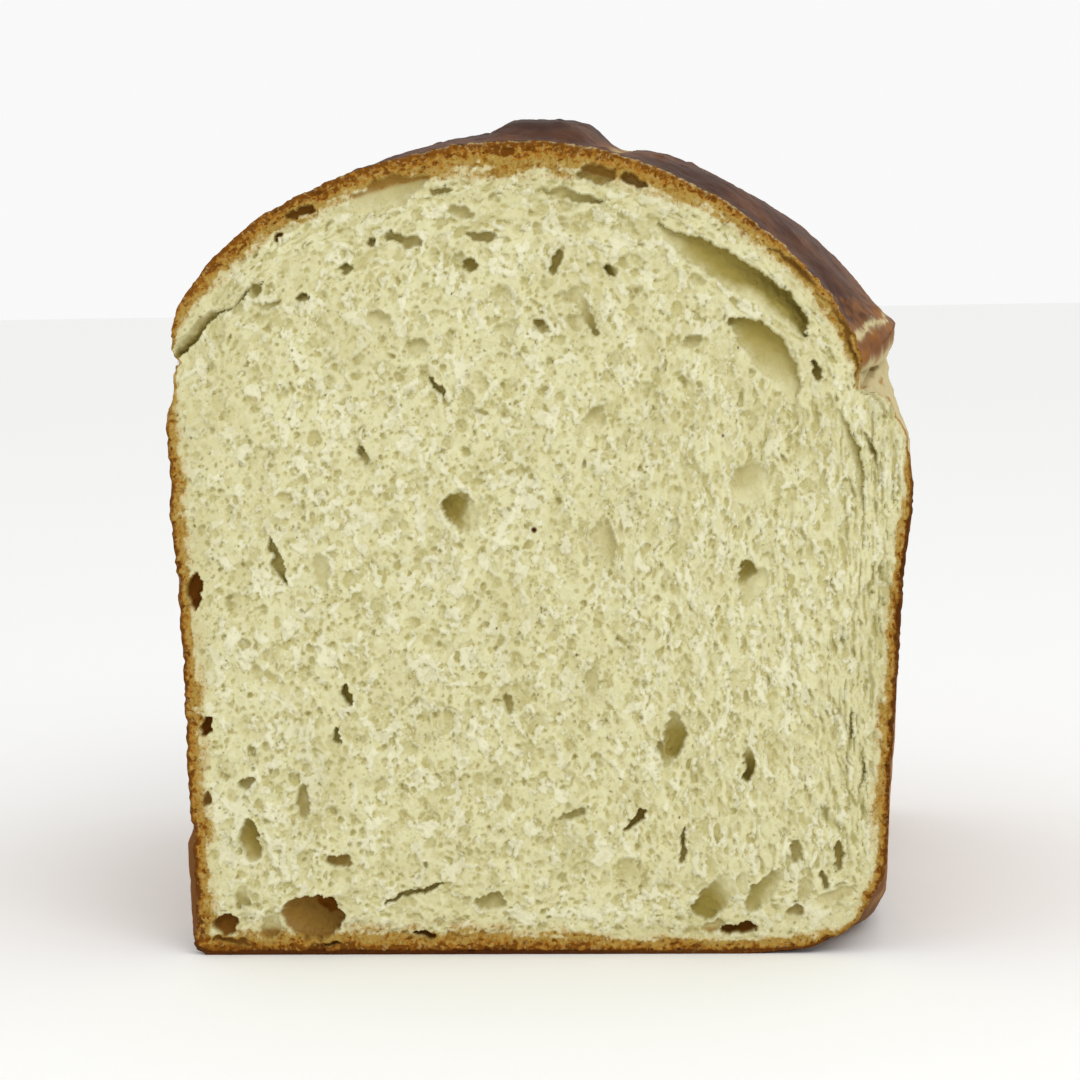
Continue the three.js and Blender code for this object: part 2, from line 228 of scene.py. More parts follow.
# Smaller cells: how many, their half width, their depth, how much of their depth shows where
# they lie in larger ones, how strong their painted shade is, and how much their outlines wander.
CELL_SIZES = (
    {"count": 420, "radius": (1.1, 2.3), "depth": (0.2, 0.75), "share": 0.9, "shade": 0.7,
     "warp": 1.0},
    {"count": 4200, "radius": (0.42, 1.05), "depth": (0.1, 0.65), "share": 0.8, "shade": 0.95,
     "warp": 0.6},
    {"count": 17000, "radius": (0.18, 0.45), "depth": (0.06, 0.4), "share": 0.8, "shade": 1.0,
     "warp": 0.25},
)

# Dark specks in the crumb: x, z and radius.
SPECKS = (
    (-0.9, 66.8, 0.6), (-7.0, 51.5, 0.25), (5.4, 47.2, 0.3), (-38.0, 66.0, 0.22),
    (31.0, 94.5, 0.2), (21.0, 21.5, 0.25), (28.5, 81.0, 0.3), (-13.0, 103.5, 0.22),
)

# Where the profiles' points stand along the bands: the crown's, and the base's and sides'.
CROWN_BANDS = np.concatenate([
    np.linspace(4, 5, 14, endpoint=False), 6 - np.linspace(1, 0, 158) ** 1.25,
])
SIDE_BANDS = np.concatenate([
    np.linspace(0, 1, 20, endpoint=False), np.linspace(1, 2, 24, endpoint=False),
    np.linspace(2, 3, 108, endpoint=False), np.linspace(3, 4, 26),
])
ALL_BANDS = np.unique(np.concatenate([CROWN_BANDS, SIDE_BANDS]))

# Distances between points: along the cut's outline, and of the flat grids that hold how far a
# point lies from it, and the crumb's relief.
OUTLINE_STEP, EDGE_STEP, RELIEF_STEP = 0.05, 0.5, 0.1
LONGEST_CELL = 6.5
WINDOW_POINTS = 3000000
GRAIN_CENTRE_X, GRAIN_CENTRE_Z = -3, 58

# How far the cut face's edge is tucked back behind the crust's, and what its colours follow.
TUCK = 1.2
CRUMB_FIELDS = (
    "cell", "hollow", "relief_shading", "torn", "brown", "bake", "shade", "char", "skin", "rim",
)


def mix(a, b, t):
    return a + (b - a) * t


def smoothstep(start, end, value):
    t = np.clip((value - start) / (end - start), 0, 1)
    return t * t * (3 - 2 * t)


def bell(distance):
    return np.exp(-distance * distance)


def unit(vectors):
    return vectors / np.maximum(np.linalg.norm(vectors, axis=-1, keepdims=True), 1e-12)


# ---- Sizes and colours that a user would change


def length_property(name, description, default):
    """A length, in metres."""
    return FloatProperty(name=name, description=description, unit="LENGTH", default=default)


def angle_property(name, description, degrees):
    """An angle, its default given in degrees."""
    return FloatProperty(
        name=name, description=description, subtype="ANGLE", default=math.radians(degrees),
    )


def colour_property(name, description, default):
    """A linear colour."""
    return FloatVectorProperty(
        name=name, description=description, subtype="COLOR", size=3, default=default,
    )


class LoafSizes(bpy.types.PropertyGroup):
    length: length_property(
        "Length", "From the cut face to the heel", NODE_HIGH.y - NODE_LOW.y)
    half_width: length_property(
        "Half width", "Half the width at the tin's rim", (NODE_HIGH.x - NODE_LOW.x) / 2)
    corner_radius: length_property(
        "Corner radius", "Radius of the heel's upright corners", 0.015)
    crown_height: length_property(
        "Crown height", "Height of the crest behind the cut", 0.1278)
    crown_swell: length_property(
        "Crown swell", "How much the crest rises towards the middle", 0.0014)
    ear_rise: length_property(
        "Ear rise", "How high the split's edge stands above the crown", 0.0024)
    lip_wave: length_property(
        "Lip wave", "How much the lip rises and falls round the loaf", 0.0009)
    skin_step: length_property("Skin step", "Distance between the skin's profiles", 0.001)


class CrustLook(bpy.types.PropertyGroup):
    crown_colour: colour_property(
        "Crown", "Colour of the roasted crown", (0.150, 0.058, 0.022))
    crown_dark: colour_property(
        "Crown, dark", "Colour of the darkest patches of the crown", (0.058, 0.021, 0.010))
    lip_colour: colour_property("Lip", "Colour of the crown's lip", (0.27, 0.105, 0.016))
    wall_colour: colour_property(
        "Wall", "Colour of the tin-baked sides", (0.38, 0.20, 0.065))
    wall_dark: colour_property(
        "Wall, dark", "Colour of the browner patches of the sides", (0.17, 0.065, 0.014))
    torn_colour: colour_property(
        "Torn band", "Colour of the torn band under the lip", (0.56, 0.48, 0.26))
    scorch_colour: colour_property(
        "Scorch", "Colour of the burnt patches", (0.022, 0.008, 0.004))
    crown_roughness: FloatProperty(
        name="Crown roughness", description="Roughness of the crown's shine",
        subtype="FACTOR", min=0, max=1, default=0.58,
    )


class CrumbLook(bpy.types.PropertyGroup):
    wall_colour: colour_property(
        "Cell walls", "Colour of the cut walls of the cells", (0.70, 0.665, 0.39))
    # Painted shade: the crumb is darkened towards this colour in its cells, by their depth, and
    # towards the crust.
    floor_colour: colour_property(
        "Cell floors", "Colour inside the shallow cells", (0.50, 0.445, 0.19))
    # Painted shade: the named hollows are darkened towards this colour by their depth.
    hollow_shade_colour: colour_property(
        "Hollows", "Colour deep in the hollows", (0.36, 0.29, 0.074))
    torn_colour: colour_property(
        "Torn lumps", "Colour of the pale torn lumps", (0.82, 0.80, 0.60))
    grey_colour: colour_property(
        "Grey flakes", "Colour of the greyer flakes", (0.52, 0.48, 0.27))
    edge_tan: colour_property(
        "Edge, tan", "Colour where the crumb starts to brown", (0.60, 0.50, 0.26))
    edge_gold: colour_property("Edge, gold", "Colour of the inner crust", (0.39, 0.25, 0.056))
    edge_amber: colour_property(
        "Edge, amber", "Colour of the middle of the crust", (0.36, 0.165, 0.022))
    edge_brown: colour_property(
        "Edge, brown", "Colour of the outer crust", (0.185, 0.066, 0.008))
    edge_dark: colour_property(
        "Edge, dark", "Colour of the crust's outermost line", (0.075, 0.022, 0.006))
    speck_colour: colour_property(
        "Specks", "Colour of the dark specks", (0.06, 0.012, 0.004))
    strips: IntProperty(
        name="Strips", description="How many upright strips the cut face is made in",
        default=4,
    )
    step: length_property("Step", "Distance between the cut face's points", 0.0002)


class StageLook(bpy.types.PropertyGroup):
    distance: length_property("Distance", "From the camera to the cut face", 0.5)
    azimuth: angle_property("Azimuth", "How far the camera stands to the right", 4)
    elevation: angle_property("Elevation", "How far the camera looks down", 5)
    roll: angle_property("Roll", "How far the camera leans", -1)
    lens: FloatProperty(
        name="Lens", description="Focal length in millimetres on a 36 mm frame",
        default=107.5,
    )
    target_height: length_property(
        "Target height", "Height of the point that the camera looks at", 0.0652)
    floor_size: length_property("Floor size", "Half the width of the floor", 6.0)
    floor_colour: colour_property("Floor", "Colour of the floor", (0.93, 0.93, 0.92))
    sky: FloatProperty(
        name="Sky", description="Strength of the even white light all round", default=0.95,
    )
    key: FloatProperty(
        name="Key", description="Power of the soft main light", unit="POWER", default=3.2,
    )
    key_size: length_property("Key size", "Width of the soft main light", 0.7)
    key_place: FloatVectorProperty(
        name="Key place", description="Where the main light hangs, from the cut face's foot",
        subtype="TRANSLATION", size=3, default=(0.45, -0.75, 0.85),
    )
    key_aim: length_property("Key aim", "Height of the point that the light faces", 0.06)


def in_millimetres(group):
    """The lengths of a property group, in millimetres."""
    names = group.__annotations__
    return SimpleNamespace(**{name: getattr(group, name) / MM for name in names})


# ---- Noise


def lattice_order(rng):
    """A function that gives each corner of a cubic lattice a number from 0 to 255, in an order
    shuffled three times over."""
    order = rng.permutation(256)

    def pick(corner):
        i, j, k = np.moveaxis(corner, -1, 0)
        return order[(order[(order[i & 255] + j) & 255] + k) & 255]

    return pick


def cloud(points, size, seed):
    """Gradient noise on a cubic lattice of the given size, about -1 to 1: at each corner round a
    point, a random direction times the way from that corner, blended by a quintic."""
    rng = np.random.default_rng(seed)
    pick = lattice_order(rng)
    ways = unit(rng.normal(size=(256, 3)))
    scaled = points / size
    corner = np.floor(scaled).astype(np.int64)
    inside = scaled - corner
    blend = inside ** 3 * (inside * (inside * 6 - 15) + 10)
    total = np.zeros(points.shape[:-1])
    for step in np.ndindex(2, 2, 2):
        step = np.array(step)
        weight = np.prod(np.where(step, blend, 1 - blend), axis=-1)
        total += weight * ((inside - step) * ways[pick(corner + step)]).sum(-1)
    return total * 1.7


def clouds(points, size, seed, octaves=3):
    """Clouds on clouds: each octave is half the size and half the height of the last."""
    return sum(cloud(points, size / 2 ** i, seed + i) / 2 ** i for i in range(octaves))


def dots(points, size, seed):
    """The distance to the nearest of many points strewn one to a cubic cell, in cells, and a
    random number that belongs to that point."""
    rng = np.random.default_rng(seed)
    pick = lattice_order(rng)
    places, numbers = rng.random((256, 3)), rng.random(256)
    scaled = points / size
    nearest = np.full(points.shape[:-1], np.inf)
    number = np.zeros(points.shape[:-1])
    for step in np.ndindex(3, 3, 3):
        cell = np.floor(scaled).astype(np.int64) + step - 1
        picked = pick(cell)
        distance = np.linalg.norm(scaled - cell - places[picked], axis=-1)
        closer = distance < nearest
        nearest = np.where(closer, distance, nearest)
        number = np.where(closer, numbers[picked], number)
    return nearest, number


def damped(field, sizes, step):
    """A flat grid with its waves shorter than the two sizes damped by a bell curve."""
    u, v = (bell(np.fft.fftfreq(n, step) * size * 1.5) for n, size in zip(field.shape, sizes))
    return np.fft.ifft2(np.fft.fft2(field) * u[:, None] * v[None, :]).real


def ripple(shape, sizes, step, seed):
    """Smooth noise on a flat grid, of unit spread: white noise with its short waves damped."""
    made = damped(np.random.default_rng(seed).normal(size=shape), sizes, step)
    return made / made.std()


def blur(field, radius, step):
    """A bell-shaped blur of a flat grid."""
    return damped(field, (2 * radius, 2 * radius), step)


# ---- The loaf's outer form


def shape_at(x, depth, sizes):
    """The profile's sizes at stations round the rim: each side's own at the cut, blended by a
    bell curve into those behind it, and those into the heel's, with a wave along the lip."""
    leftness = 0.5 - x / (2 * sizes.half_width)
    left = (leftness >= 0.5)[:, None]
    behind, at_cut = (
        np.where(left, form["left"], form["right"]) for form in (BEHIND_CUT, AT_CUT)
    )
    near_heel = smoothstep(HEEL_FROM, HEEL_BY, depth)[:, None]
    near_cut = bell(depth / CUT_REACH)[:, None]
    values = mix(mix(behind, np.array(AT_HEEL), near_heel), at_cut, near_cut)
    shape = {key: values[:, i:i + 1] for i, key in enumerate(SHAPE_KEYS)}
    along = (depth + 2 * sizes.half_width * leftness)[:, None]
    wave = sizes.lip_wave * (1 - near_cut)
    wave = wave * (np.sin(along / 13) + 0.6 * np.sin(along / 5.3 + 2))
    for key in ("rim", "neck", "lip"):
        shape[key] = shape[key] + wave
    return SimpleNamespace(**shape)


def crest_height(depth, sizes):
    """The crest's height: level, but for a half wave's swell and a drop at the cut."""
    swell = np.sin(np.pi * depth / (sizes.length - SWELL_TO_HEEL))
    top = sizes.crown_height + sizes.crown_swell * swell
    return top - CROWN_DROP_AT_CUT * bell(depth / CUT_REACH)


def split_along(depth):
    """How wide the crown's split is open, from 0 to 1, and how far it has drifted in X."""
    opened = smoothstep(SPLIT_START, SPLIT_OPEN, depth)
    opened = opened * smoothstep(SPLIT_END, SPLIT_CLOSING, depth)
    return opened, SPLIT_DRIFT * np.sin(depth / SPLIT_WAVE)


def split_rise(x, depth, sizes):
    """The ear, a flat-topped ridge, and the furrow on its right, a bell-shaped dip, along the
    crown."""
    opened, drift = split_along(depth)
    ear = bell(((x - EAR_X - drift) / EAR_HALF_WIDTH) ** 3)
    furrow = bell((x - FURROW_X - drift) / FURROW_HALF_WIDTH)
    return opened * (sizes.ear_rise * ear - FURROW_DEPTH * furrow)


def smooth_skin(stations, bands, sizes):
    """The loaf's smooth skin, a grid of stations by bands. Each profile is: a straight base; a
    quarter circle at the foot; a wall that leans out to the rim; a rounded shoulder in to the
    neck; a quarter ellipse out to the lip; and a dome whose height over the lip is
    (1 - reach ^ flatness) ^ (1 / shoulder), for a reach that falls from 1 at the lip to 0 at
    the crest. Over the heel's corners the reach is raised, so the crown is rounder there."""
    x, depth, nx, ny = (column[:, None] for column in stations)
    shape = shape_at(x[:, 0], depth[:, 0], sizes)
    part = np.minimum(np.floor(bands), 5).astype(int)
    t = (bands - part)[None, :]
    turn = t * np.pi / 2
    flat = np.zeros((len(x), len(bands)))
    foot_inset = shape.rim_inset + shape.taper + shape.foot

    insets = [
        foot_inset + flat,
        foot_inset - shape.foot * np.sin(turn),
        shape.rim_inset + shape.taper * np.maximum(1 - t, 0) ** WALL_DRAFT,
        mix(shape.rim_inset, shape.neck_inset, 1 - np.cos(turn)),
        mix(shape.neck_inset, shape.lip_inset, np.sin(turn)),
        shape.lip_inset + flat,
    ]
    heights = [
        flat,
        shape.foot * (1 - np.cos(turn)),
        mix(shape.foot, shape.rim, t),
        mix(shape.rim, shape.neck, np.sin(turn) ** (2 / 3)),
        mix(shape.lip, shape.neck, np.cos(turn)),
        flat,
    ]
    inset, z = (np.stack(rows)[part, :, np.arange(len(bands))].T for rows in (insets, heights))
    px, pd = x - nx * inset, depth - ny * inset

    on_base = part == 0
    base_depth = np.minimum(depth, sizes.length - BASE_LINE_TO_HEEL)
    px = np.where(on_base, mix(CREST_X, px, t), px)
    pd = np.where(on_base, mix(base_depth, pd, t), pd)

    on_dome = part == 5
    crest_depth = np.minimum(depth, sizes.length - CREST_TO_HEEL)
    run_x, run_d = px - CREST_X, pd - crest_depth
    over_corner = np.maximum(np.hypot(run_x / sizes.half_width, run_d / CREST_TO_HEEL) - 1, 0)
    reach = np.where(on_dome, np.cos(turn), 1)
    reach = np.where(bands >= 6, 0, reach)
    rounded = np.minimum(1, reach * (1 + over_corner * (1 - reach ** 2)))
    rise = (1 - rounded ** shape.flatness) ** (1 / shape.shoulder)
    dome_x, dome_d = CREST_X + run_x * reach, crest_depth + run_d * reach
    dome_z = mix(shape.lip, crest_height(crest_depth, sizes), rise)
    dome_z = dome_z + split_rise(dome_x, dome_d, sizes) * rise
    px, pd = np.where(on_dome, dome_x, px), np.where(on_dome, dome_d, pd)
    return np.stack([px, pd - sizes.length / 2, np.where(on_dome, dome_z, z)], -1)


def rim_stations(sizes):
    """Stations of the path round the rim, back along the right side, round the heel and forward
    along the left: their x, depth and outward direction. They stand closer near the cut."""
    radius, step, quarter = sizes.corner_radius, sizes.skin_step, np.pi / 2
    straight, half_heel = sizes.length - radius, sizes.half_width - radius
    count = int(straight / step * 1.15)
    t = np.arange(count) / count
    side = straight * (0.45 * t + 0.55 * t ** 2)
    turns = np.linspace(0, quarter, int(radius * quarter / step), endpoint=False)
    heel = np.linspace(half_heel, 0, int(half_heel / step) + 1)
    parts = (
        (np.full(count, sizes.half_width), half_heel + radius * np.cos(turns), heel),
        (side, straight + radius * np.sin(turns), np.full(len(heel), sizes.length)),
        (np.ones(count), np.cos(turns), np.zeros(len(heel))),
        (np.zeros(count), np.sin(turns), np.ones(len(heel))),
    )
    right = (np.concatenate(part) for part in parts)
    return tuple(
        np.concatenate([column, sign * column[-2::-1]])
        for column, sign in zip(right, (-1, 1, -1, 1))
    )


def grid_normals(points):
    """Unit normals of a grid: the cross product of its two directions."""
    along = np.gradient(points, axis=0)
    up = np.gradient(points, axis=1)
    return unit(np.cross(along, up))


def skin_relief(points, bands, depth):
    """How far the skin stands out from its smooth form, in millimetres. The crown has soft
    swells, wrinkles and small blisters; the tin's sides have shallow pocks; the torn band has
    upright ribs and bulges beside the cut. Each part fades out towards its neighbours, the base
    only rises, and beside the cut the skin's edge is chipped."""
    band = np.broadcast_to(bands, points.shape[:-1])
    crown = np.interp(band, (4.1, 4.9, 6), (0, 1, 1))
    tin = np.interp(band, (0.9, 1.6, 2.9, 3.2), (0, 1, 1, 0))
    torn = np.interp(band, (2.85, 3.25, 3.8, 4, 4.5, 4.9), (0, 1, 1, 0.6, 0.8, 0))
    base = np.interp(band, (0.8, 1), (1, 0))

    swells = 0.5 * clouds(points, 24.0, SEED) + 0.22 * clouds(points, 7.0, SEED + 5)
    wrinkles = -0.2 * np.abs(clouds(points * (1, 0.55, 1), 3.0, SEED + 9))
    grain = 0.06 * clouds(points, 1.3, SEED + 13, 2)
    near, number = dots(points, 5.0, SEED + 17)
    blisters = 0.3 * (number > 0.55) * smoothstep(0.34, 0.05, near)
    crown_relief = swells + wrinkles + grain + blisters

    near, number = dots(points, 5.5, SEED + 21)
    pocks = -0.4 * (number > 0.5) * smoothstep(0.36, 0.12, near)
    near, number = dots(points, 1.9, SEED + 25)
    pin_pocks = -0.13 * (number > 0.45) * smoothstep(0.4, 0.15, near)
    tin_relief = 0.22 * clouds(points, 26.0, SEED + 29) + 0.08 * clouds(points, 3.0, SEED + 33)
    tin_relief = tin_relief + pocks + pin_pocks

    ribs = torn_ribs(points)
    bulge = np.interp(band, (3.0, 3.5, 4.0), (0, 1, 0.3)) * bell(depth / 7)
    bulge = bulge * np.where(points[..., 0] > 0, -0.3, 0.9)
    torn_relief = 0.55 * ribs + 0.35 * clouds(points, 5.0, SEED + 41) + bulge
    base_relief = 0.12 * np.abs(clouds(points, 9.0, SEED + 45))
    relief = crown * crown_relief + tin * tin_relief + torn * torn_relief
    relief = relief - base * base_relief - chips(points, band, depth)
    return relief + settling(points, band, depth)


def settling(points, band, depth):
    """Broad, shallow swells and dips near the cut, each a product of smooth steps: under the
    left split and the right lip, at the right foot, along the right shoulder, and half way up
    both walls."""
    x, z = points[..., 0], points[..., 2]
    under_split = -1.5 * smoothstep(85, 90, z) * smoothstep(96, 92.5, z) * (x < -45)
    under_lip = -1.5 * smoothstep(78, 86, z) * smoothstep(92, 89, z) * (x > 40)
    foot = -1.7 * np.interp(band, (0.8, 1.2, 1.8, 2.05), (0, 1, 1, 0)) * (x > 30)
    shoulder = -1.0 * bell((band - 5.3) / 0.22) * (x > 0) * smoothstep(1, 8, depth)
    walls = 0.6 * bell((z - 69) / 6) * smoothstep(2.05, 2.3, band) * (band < 3)
    total = under_split * bell(depth / 14) + under_lip * smoothstep(0.5, 4, depth)
    return total + (foot + walls) * bell(depth / 22) + shoulder * bell(depth / 70)


def torn_ribs(points):
    """Upright ribs, about -1 to 1: clouds drawn out five times along Z."""
    return clouds(points * (1, 1, 0.2), 1.9, SEED + 37)


def chips(points, band, depth):
    """How much of the skin's edge has broken away beside the cut, fading within two
    millimetres: a ragged line all round, and a long chip low on the left."""
    x, z = points[..., 0], points[..., 2]
    ragged = np.abs(clouds(points, 1.8, SEED + 47, 4)) - 0.45
    ragged = ragged * np.interp(band, (0.9, 1.2, 3, 4, 4.5, 6), (0, 0.45, 0.5, 0.1, 0.45, 0.3))
    low_left = 1.25 * smoothstep(22, 18.5, z) * smoothstep(1, 6, z) * (x < -50)
    return smoothstep(1.7, 0.5, depth) * (ragged + low_left)


def rough_skin(stations, bands, sizes):
    """The smooth skin moved along its normals by the relief, with the left foot let out a
    little near the cut. It is made for all bands together, so that the pieces meet without a
    gap, and the given ones are returned. On the cut the normals are kept in its plane, so the
    skin's edge and the crumb's outline are one curve. Where the two sides meet, along the crest
    and the base's middle line, they are upright."""
    points = smooth_skin(stations, ALL_BANDS, sizes)
    x, depth, z = points[..., 0], points[..., 1] + sizes.length / 2, points[..., 2]
    foot = smoothstep(20.5, 17, z) * smoothstep(-15, -46, x) * bell(depth / 28)
    points[..., 0] -= FOOT_OUT * foot
    normals = grid_normals(points)
    normals[..., 1] *= smoothstep(0, 3, depth)
    normals[:, ALL_BANDS == 6] = (0, 0, 1)
    normals[:, ALL_BANDS == 0] = (0, 0, -1)
    relief = skin_relief(points, ALL_BANDS, depth)
    points = points + unit(normals) * relief[..., None]
    return points[:, np.isin(ALL_BANDS, bands)]


# ---- The cut face


def cut_side(side, sizes):
    """One side's outline on the cut plane, from the base's middle line to the crest: x, z, how
    thick the crust is there, and how dark."""
    sign = 1.0 if side == "right" else -1.0
    stations = (
        np.full(2, sign * sizes.half_width), np.array([0.0, 0.05])[::int(sign)],
        np.full(2, sign), np.zeros(2),
    )
    points = rough_skin(stations, ALL_BANDS, sizes)[0 if side == "right" else -1]
    thick = np.interp(ALL_BANDS, CRUST_BANDS, CRUST_THICK[side])
    char = np.interp(ALL_BANDS, CRUST_BANDS, CRUST_CHAR[side])
    return points[:, 0], points[:, 2], thick, char


class CutOutline:
    """The closed outline of the cut face, from the base's middle up the right side, over the
    crest and down the left: its x, z, and the crust's thickness and darkness, at even short
    steps."""

    def __init__(self, sizes):
        right, left = cut_side("right", sizes), cut_side("left", sizes)
        columns = [np.concatenate([r, l[::-1]]) for r, l in zip(right, left)]
        stretches = np.hypot(np.diff(columns[0]), np.diff(columns[1]))
        along = np.concatenate([[0], np.cumsum(stretches)])
        even = np.linspace(0, along[-1], int(along[-1] / OUTLINE_STEP))
        self.x, self.z, self.thick, self.char = (
            np.interp(even, along, column) for column in columns
        )

    def nearest(self, x, z):
        """For any points: the distance to the outline, and which of its points is nearest."""
        points = np.stack([x.ravel(), z.ravel()], -1)
        distance, at = np.empty(len(points)), np.empty(len(points), int)
        for rows in np.array_split(np.arange(len(points)), len(points) // 1500 + 1):
            square = (points[rows, 0, None] - self.x) ** 2
            square += (points[rows, 1, None] - self.z) ** 2
            at[rows] = square.argmin(1)
            distance[rows] = np.sqrt(square[np.arange(len(rows)), at[rows]])
        return distance.reshape(x.shape), at.reshape(x.shape)

    def inside(self, x, z):
        """Which points of a flat grid of x by z lie inside: those with an odd number of
        crossings of the outline on their row before them."""
        ax, az, bx, bz = self.x, self.z, np.roll(self.x, -1), np.roll(self.z, -1)
        crossings = np.zeros((len(x) + 1, len(z)))
        row = np.arange(len(z))[None, :]
        edge, row = np.nonzero((az[:, None] <= z[row]) != (bz[:, None] <= z[row]))
        t = (z[row] - az[edge]) / (bz[edge] - az[edge])
        at = np.searchsorted(x, mix(ax[edge], bx[edge], t))
        np.add.at(crossings, (at, row), 1)
        return np.cumsum(crossings, axis=0)[:-1] % 2 == 1


class FlatField:
    """A flat grid over the cut face, with its own step, that can be read between its points."""

    def __init__(self, low, high, step):
        self.low, self.step = np.array(low, float), step
        self.x = np.arange(low[0], high[0], step)
        self.z = np.arange(low[1], high[1], step)
        self.shape = (len(self.x), len(self.z))
        self.gx, self.gz = np.meshgrid(self.x, self.z, indexing="ij")

    def read(self, field, x, z):
        """The field's value at any points, by blending the four grid points round each."""
        i = np.clip((x - self.low[0]) / self.step, 0, self.shape[0] - 1.001)
        k = np.clip((z - self.low[1]) / self.step, 0, self.shape[1] - 1.001)
        i0, k0 = i.astype(int), k.astype(int)
        right, up = i - i0, k - k0
        low = mix(field[i0, k0], field[i0 + 1, k0], right)
        high = mix(field[i0, k0 + 1], field[i0 + 1, k0 + 1], right)
        return mix(low, high, up)


def grain_weights(x, z, edge):
    """How much the crumb is drawn out one way or another: along the crown near the top, level
    near the base, and upright elsewhere, most of all on the right."""
    crown = smoothstep(22, 7, edge) * smoothstep(84, 100, z)
    base = smoothstep(15, 6, z) * (1 - crown)
    drawn = smoothstep(-6, 34, x) * smoothstep(104, 86, z) * (1 - base) * (1 - crown)
    return crown, base, drawn


def along_crown(x, z):
    """The angle round the loaf's middle, of a point of the cut face."""
    return np.arctan2(z - GRAIN_CENTRE_Z, x - GRAIN_CENTRE_X)


def grained(grid, edge, across, along, seed):
    """Smooth noise drawn out along the crumb's grain. It is made three times, upright, level,
    and bent round the crown, and blended by the grain's weights."""
    crown, base, _ = grain_weights(grid.gx, grid.gz, edge)
    upright = ripple(grid.shape, (across, along), grid.step, seed)
    level = ripple(grid.shape, (along, across), grid.step, seed + 1)
    bent_x = -50 + np.mod(along_crown(grid.gx, grid.gz) * 55, 100)
    bent = grid.read(level, bent_x, 5 + np.minimum(edge, 60))
    plain = 1 - crown - base
    blended = plain * upright + base * level + crown * bent
    return blended / np.sqrt(plain ** 2 + base ** 2 + crown ** 2)


def cell_windows(grid, warp, cells):
    """Takes the cells in shares whose windows hold about WINDOW_POINTS of the grid's points. For
    each share: its cells, the grid places that they may reach, q, the squared distance from a
    cell's middle in half widths, and the way towards its deep side, from -1 to 1."""
    reach = int(math.ceil(cells["length"].max() * 1.2 / grid.step)) + 2
    offsets = np.arange(-reach, reach + 1)
    oi, ok = (o.ravel() for o in np.meshgrid(offsets, offsets, indexing="ij"))
    count = len(cells["x"])
    for rows in np.array_split(np.arange(count), count * len(oi) // WINDOW_POINTS + 1):
        one = {key: value[rows, None] for key, value in cells.items()}
        i = np.round((one["x"] - grid.low[0]) / grid.step).astype(int) + oi
        k = np.round((one["z"] - grid.low[1]) / grid.step).astype(int) + ok
        i, k = np.clip(i, 0, grid.shape[0] - 1), np.clip(k, 0, grid.shape[1] - 1)
        dx = grid.x[i] + warp[0][i, k] - one["x"]
        dz = grid.z[k] + warp[1][i, k] - one["z"]
        cos, sin = np.cos(one["turn"]), np.sin(one["turn"])
        q = ((dx * cos + dz * sin) / one["length"]) ** 2
        q = q + ((dz * cos - dx * sin) / one["width"]) ** 2
        way = (dx * np.cos(one["deep"]) + dz * np.sin(one["deep"])) / one["length"]
        yield one, (i, k), q, way


def press_in(field, places, values, held):
    """Raises a field to the values at their places, where they are held and it is lower."""
    values = np.broadcast_to(values, held.shape)[held]
    np.maximum.at(field, tuple(place[held] for place in places), values)


def press_cells(grid, warp, cells):
    """Presses cells into a flat face and returns its depth and its painted shade, which darkens
    the cells' colour. A cell's depth is depth * (1 - q ^ flat) ^ 0.6 * (1 + lean * way), its
    painted shade goes the same way, and where two overlap the deeper wins."""
    depth, shade = np.zeros(grid.shape), np.zeros(grid.shape)
    for one, places, q, way in cell_windows(grid, warp, cells):
        form = np.maximum(1 - q ** one["flat"], 0) ** 0.6 * (1 + one["lean"] * way)
        held = (q < 1) & (form > 0)
        form = np.maximum(form, 0)
        press_in(depth, places, one["depth"] * form, held)
        press_in(shade, places, one["shade"] * form ** 0.6, held)
    return depth, shade


def press_hollows(depth, brown, grid, warp):
    """Presses the named hollows in. Each is depth * (1 - q ^ 2) ^ 0.4 * (1 + lean * way), and
    where two overlap the deeper wins."""
    cells = dict(zip(HOLLOW_KEYS, np.array(HOLLOWS, float).T))
    cells["turn"], cells["deep"] = np.radians(cells["turn"]), np.radians(cells["deep"])
    for one, places, q, way in cell_windows(grid, warp, cells):
        form = np.maximum(1 - q ** 2, 0) ** 0.4 * np.maximum(1 + one["lean"] * way, 0.06)
        deeper = (q < 1) & (form > 0)
        press_in(depth, places, one["depth"] * form, deeper)
        press_in(brown, places, one["brown"], deeper)


def press_trough(depth, brown, grid, warp, trough):
    """Presses a long hollow in along its path of straight stretches. Across it, u goes from 0
    on the shallow side to 1 on the deep side, and the depth is its own times u ^ slope, with a
    wall at the deep side."""
    path, widths, depths, slopes, side, inner = trough
    px, pz = grid.gx + warp[0], grid.gz + warp[1]
    nearest, made = np.full(grid.shape, np.inf), np.zeros(grid.shape)
    for n, ((ax, az), (bx, bz)) in enumerate(zip(path, path[1:])):
        vx, vz = bx - ax, bz - az
        long = math.hypot(vx, vz)
        t = np.clip(((px - ax) * vx + (pz - az) * vz) / long ** 2, 0, 1)
        width = mix(widths[n], widths[n + 1], t)
        away = np.hypot(px - ax - vx * t, pz - az - vz * t) / width
        lateral = ((pz - az) * vx - (px - ax) * vz) / long / width * side
        u = np.clip((1 + lateral) / 2, 0, 1)
        value = mix(depths[n], depths[n + 1], t) * u ** mix(slopes[n], slopes[n + 1], t)
        value = value * smoothstep(1.0, 0.82, away)
        closer = (away < 1) & (away < nearest)
        made = np.where(closer, value, made)
        nearest = np.where(closer, away, nearest)
    brown[:] = np.where(made > 0.02, np.maximum(brown, inner), brown)
    depth[:] = np.maximum(depth, made)


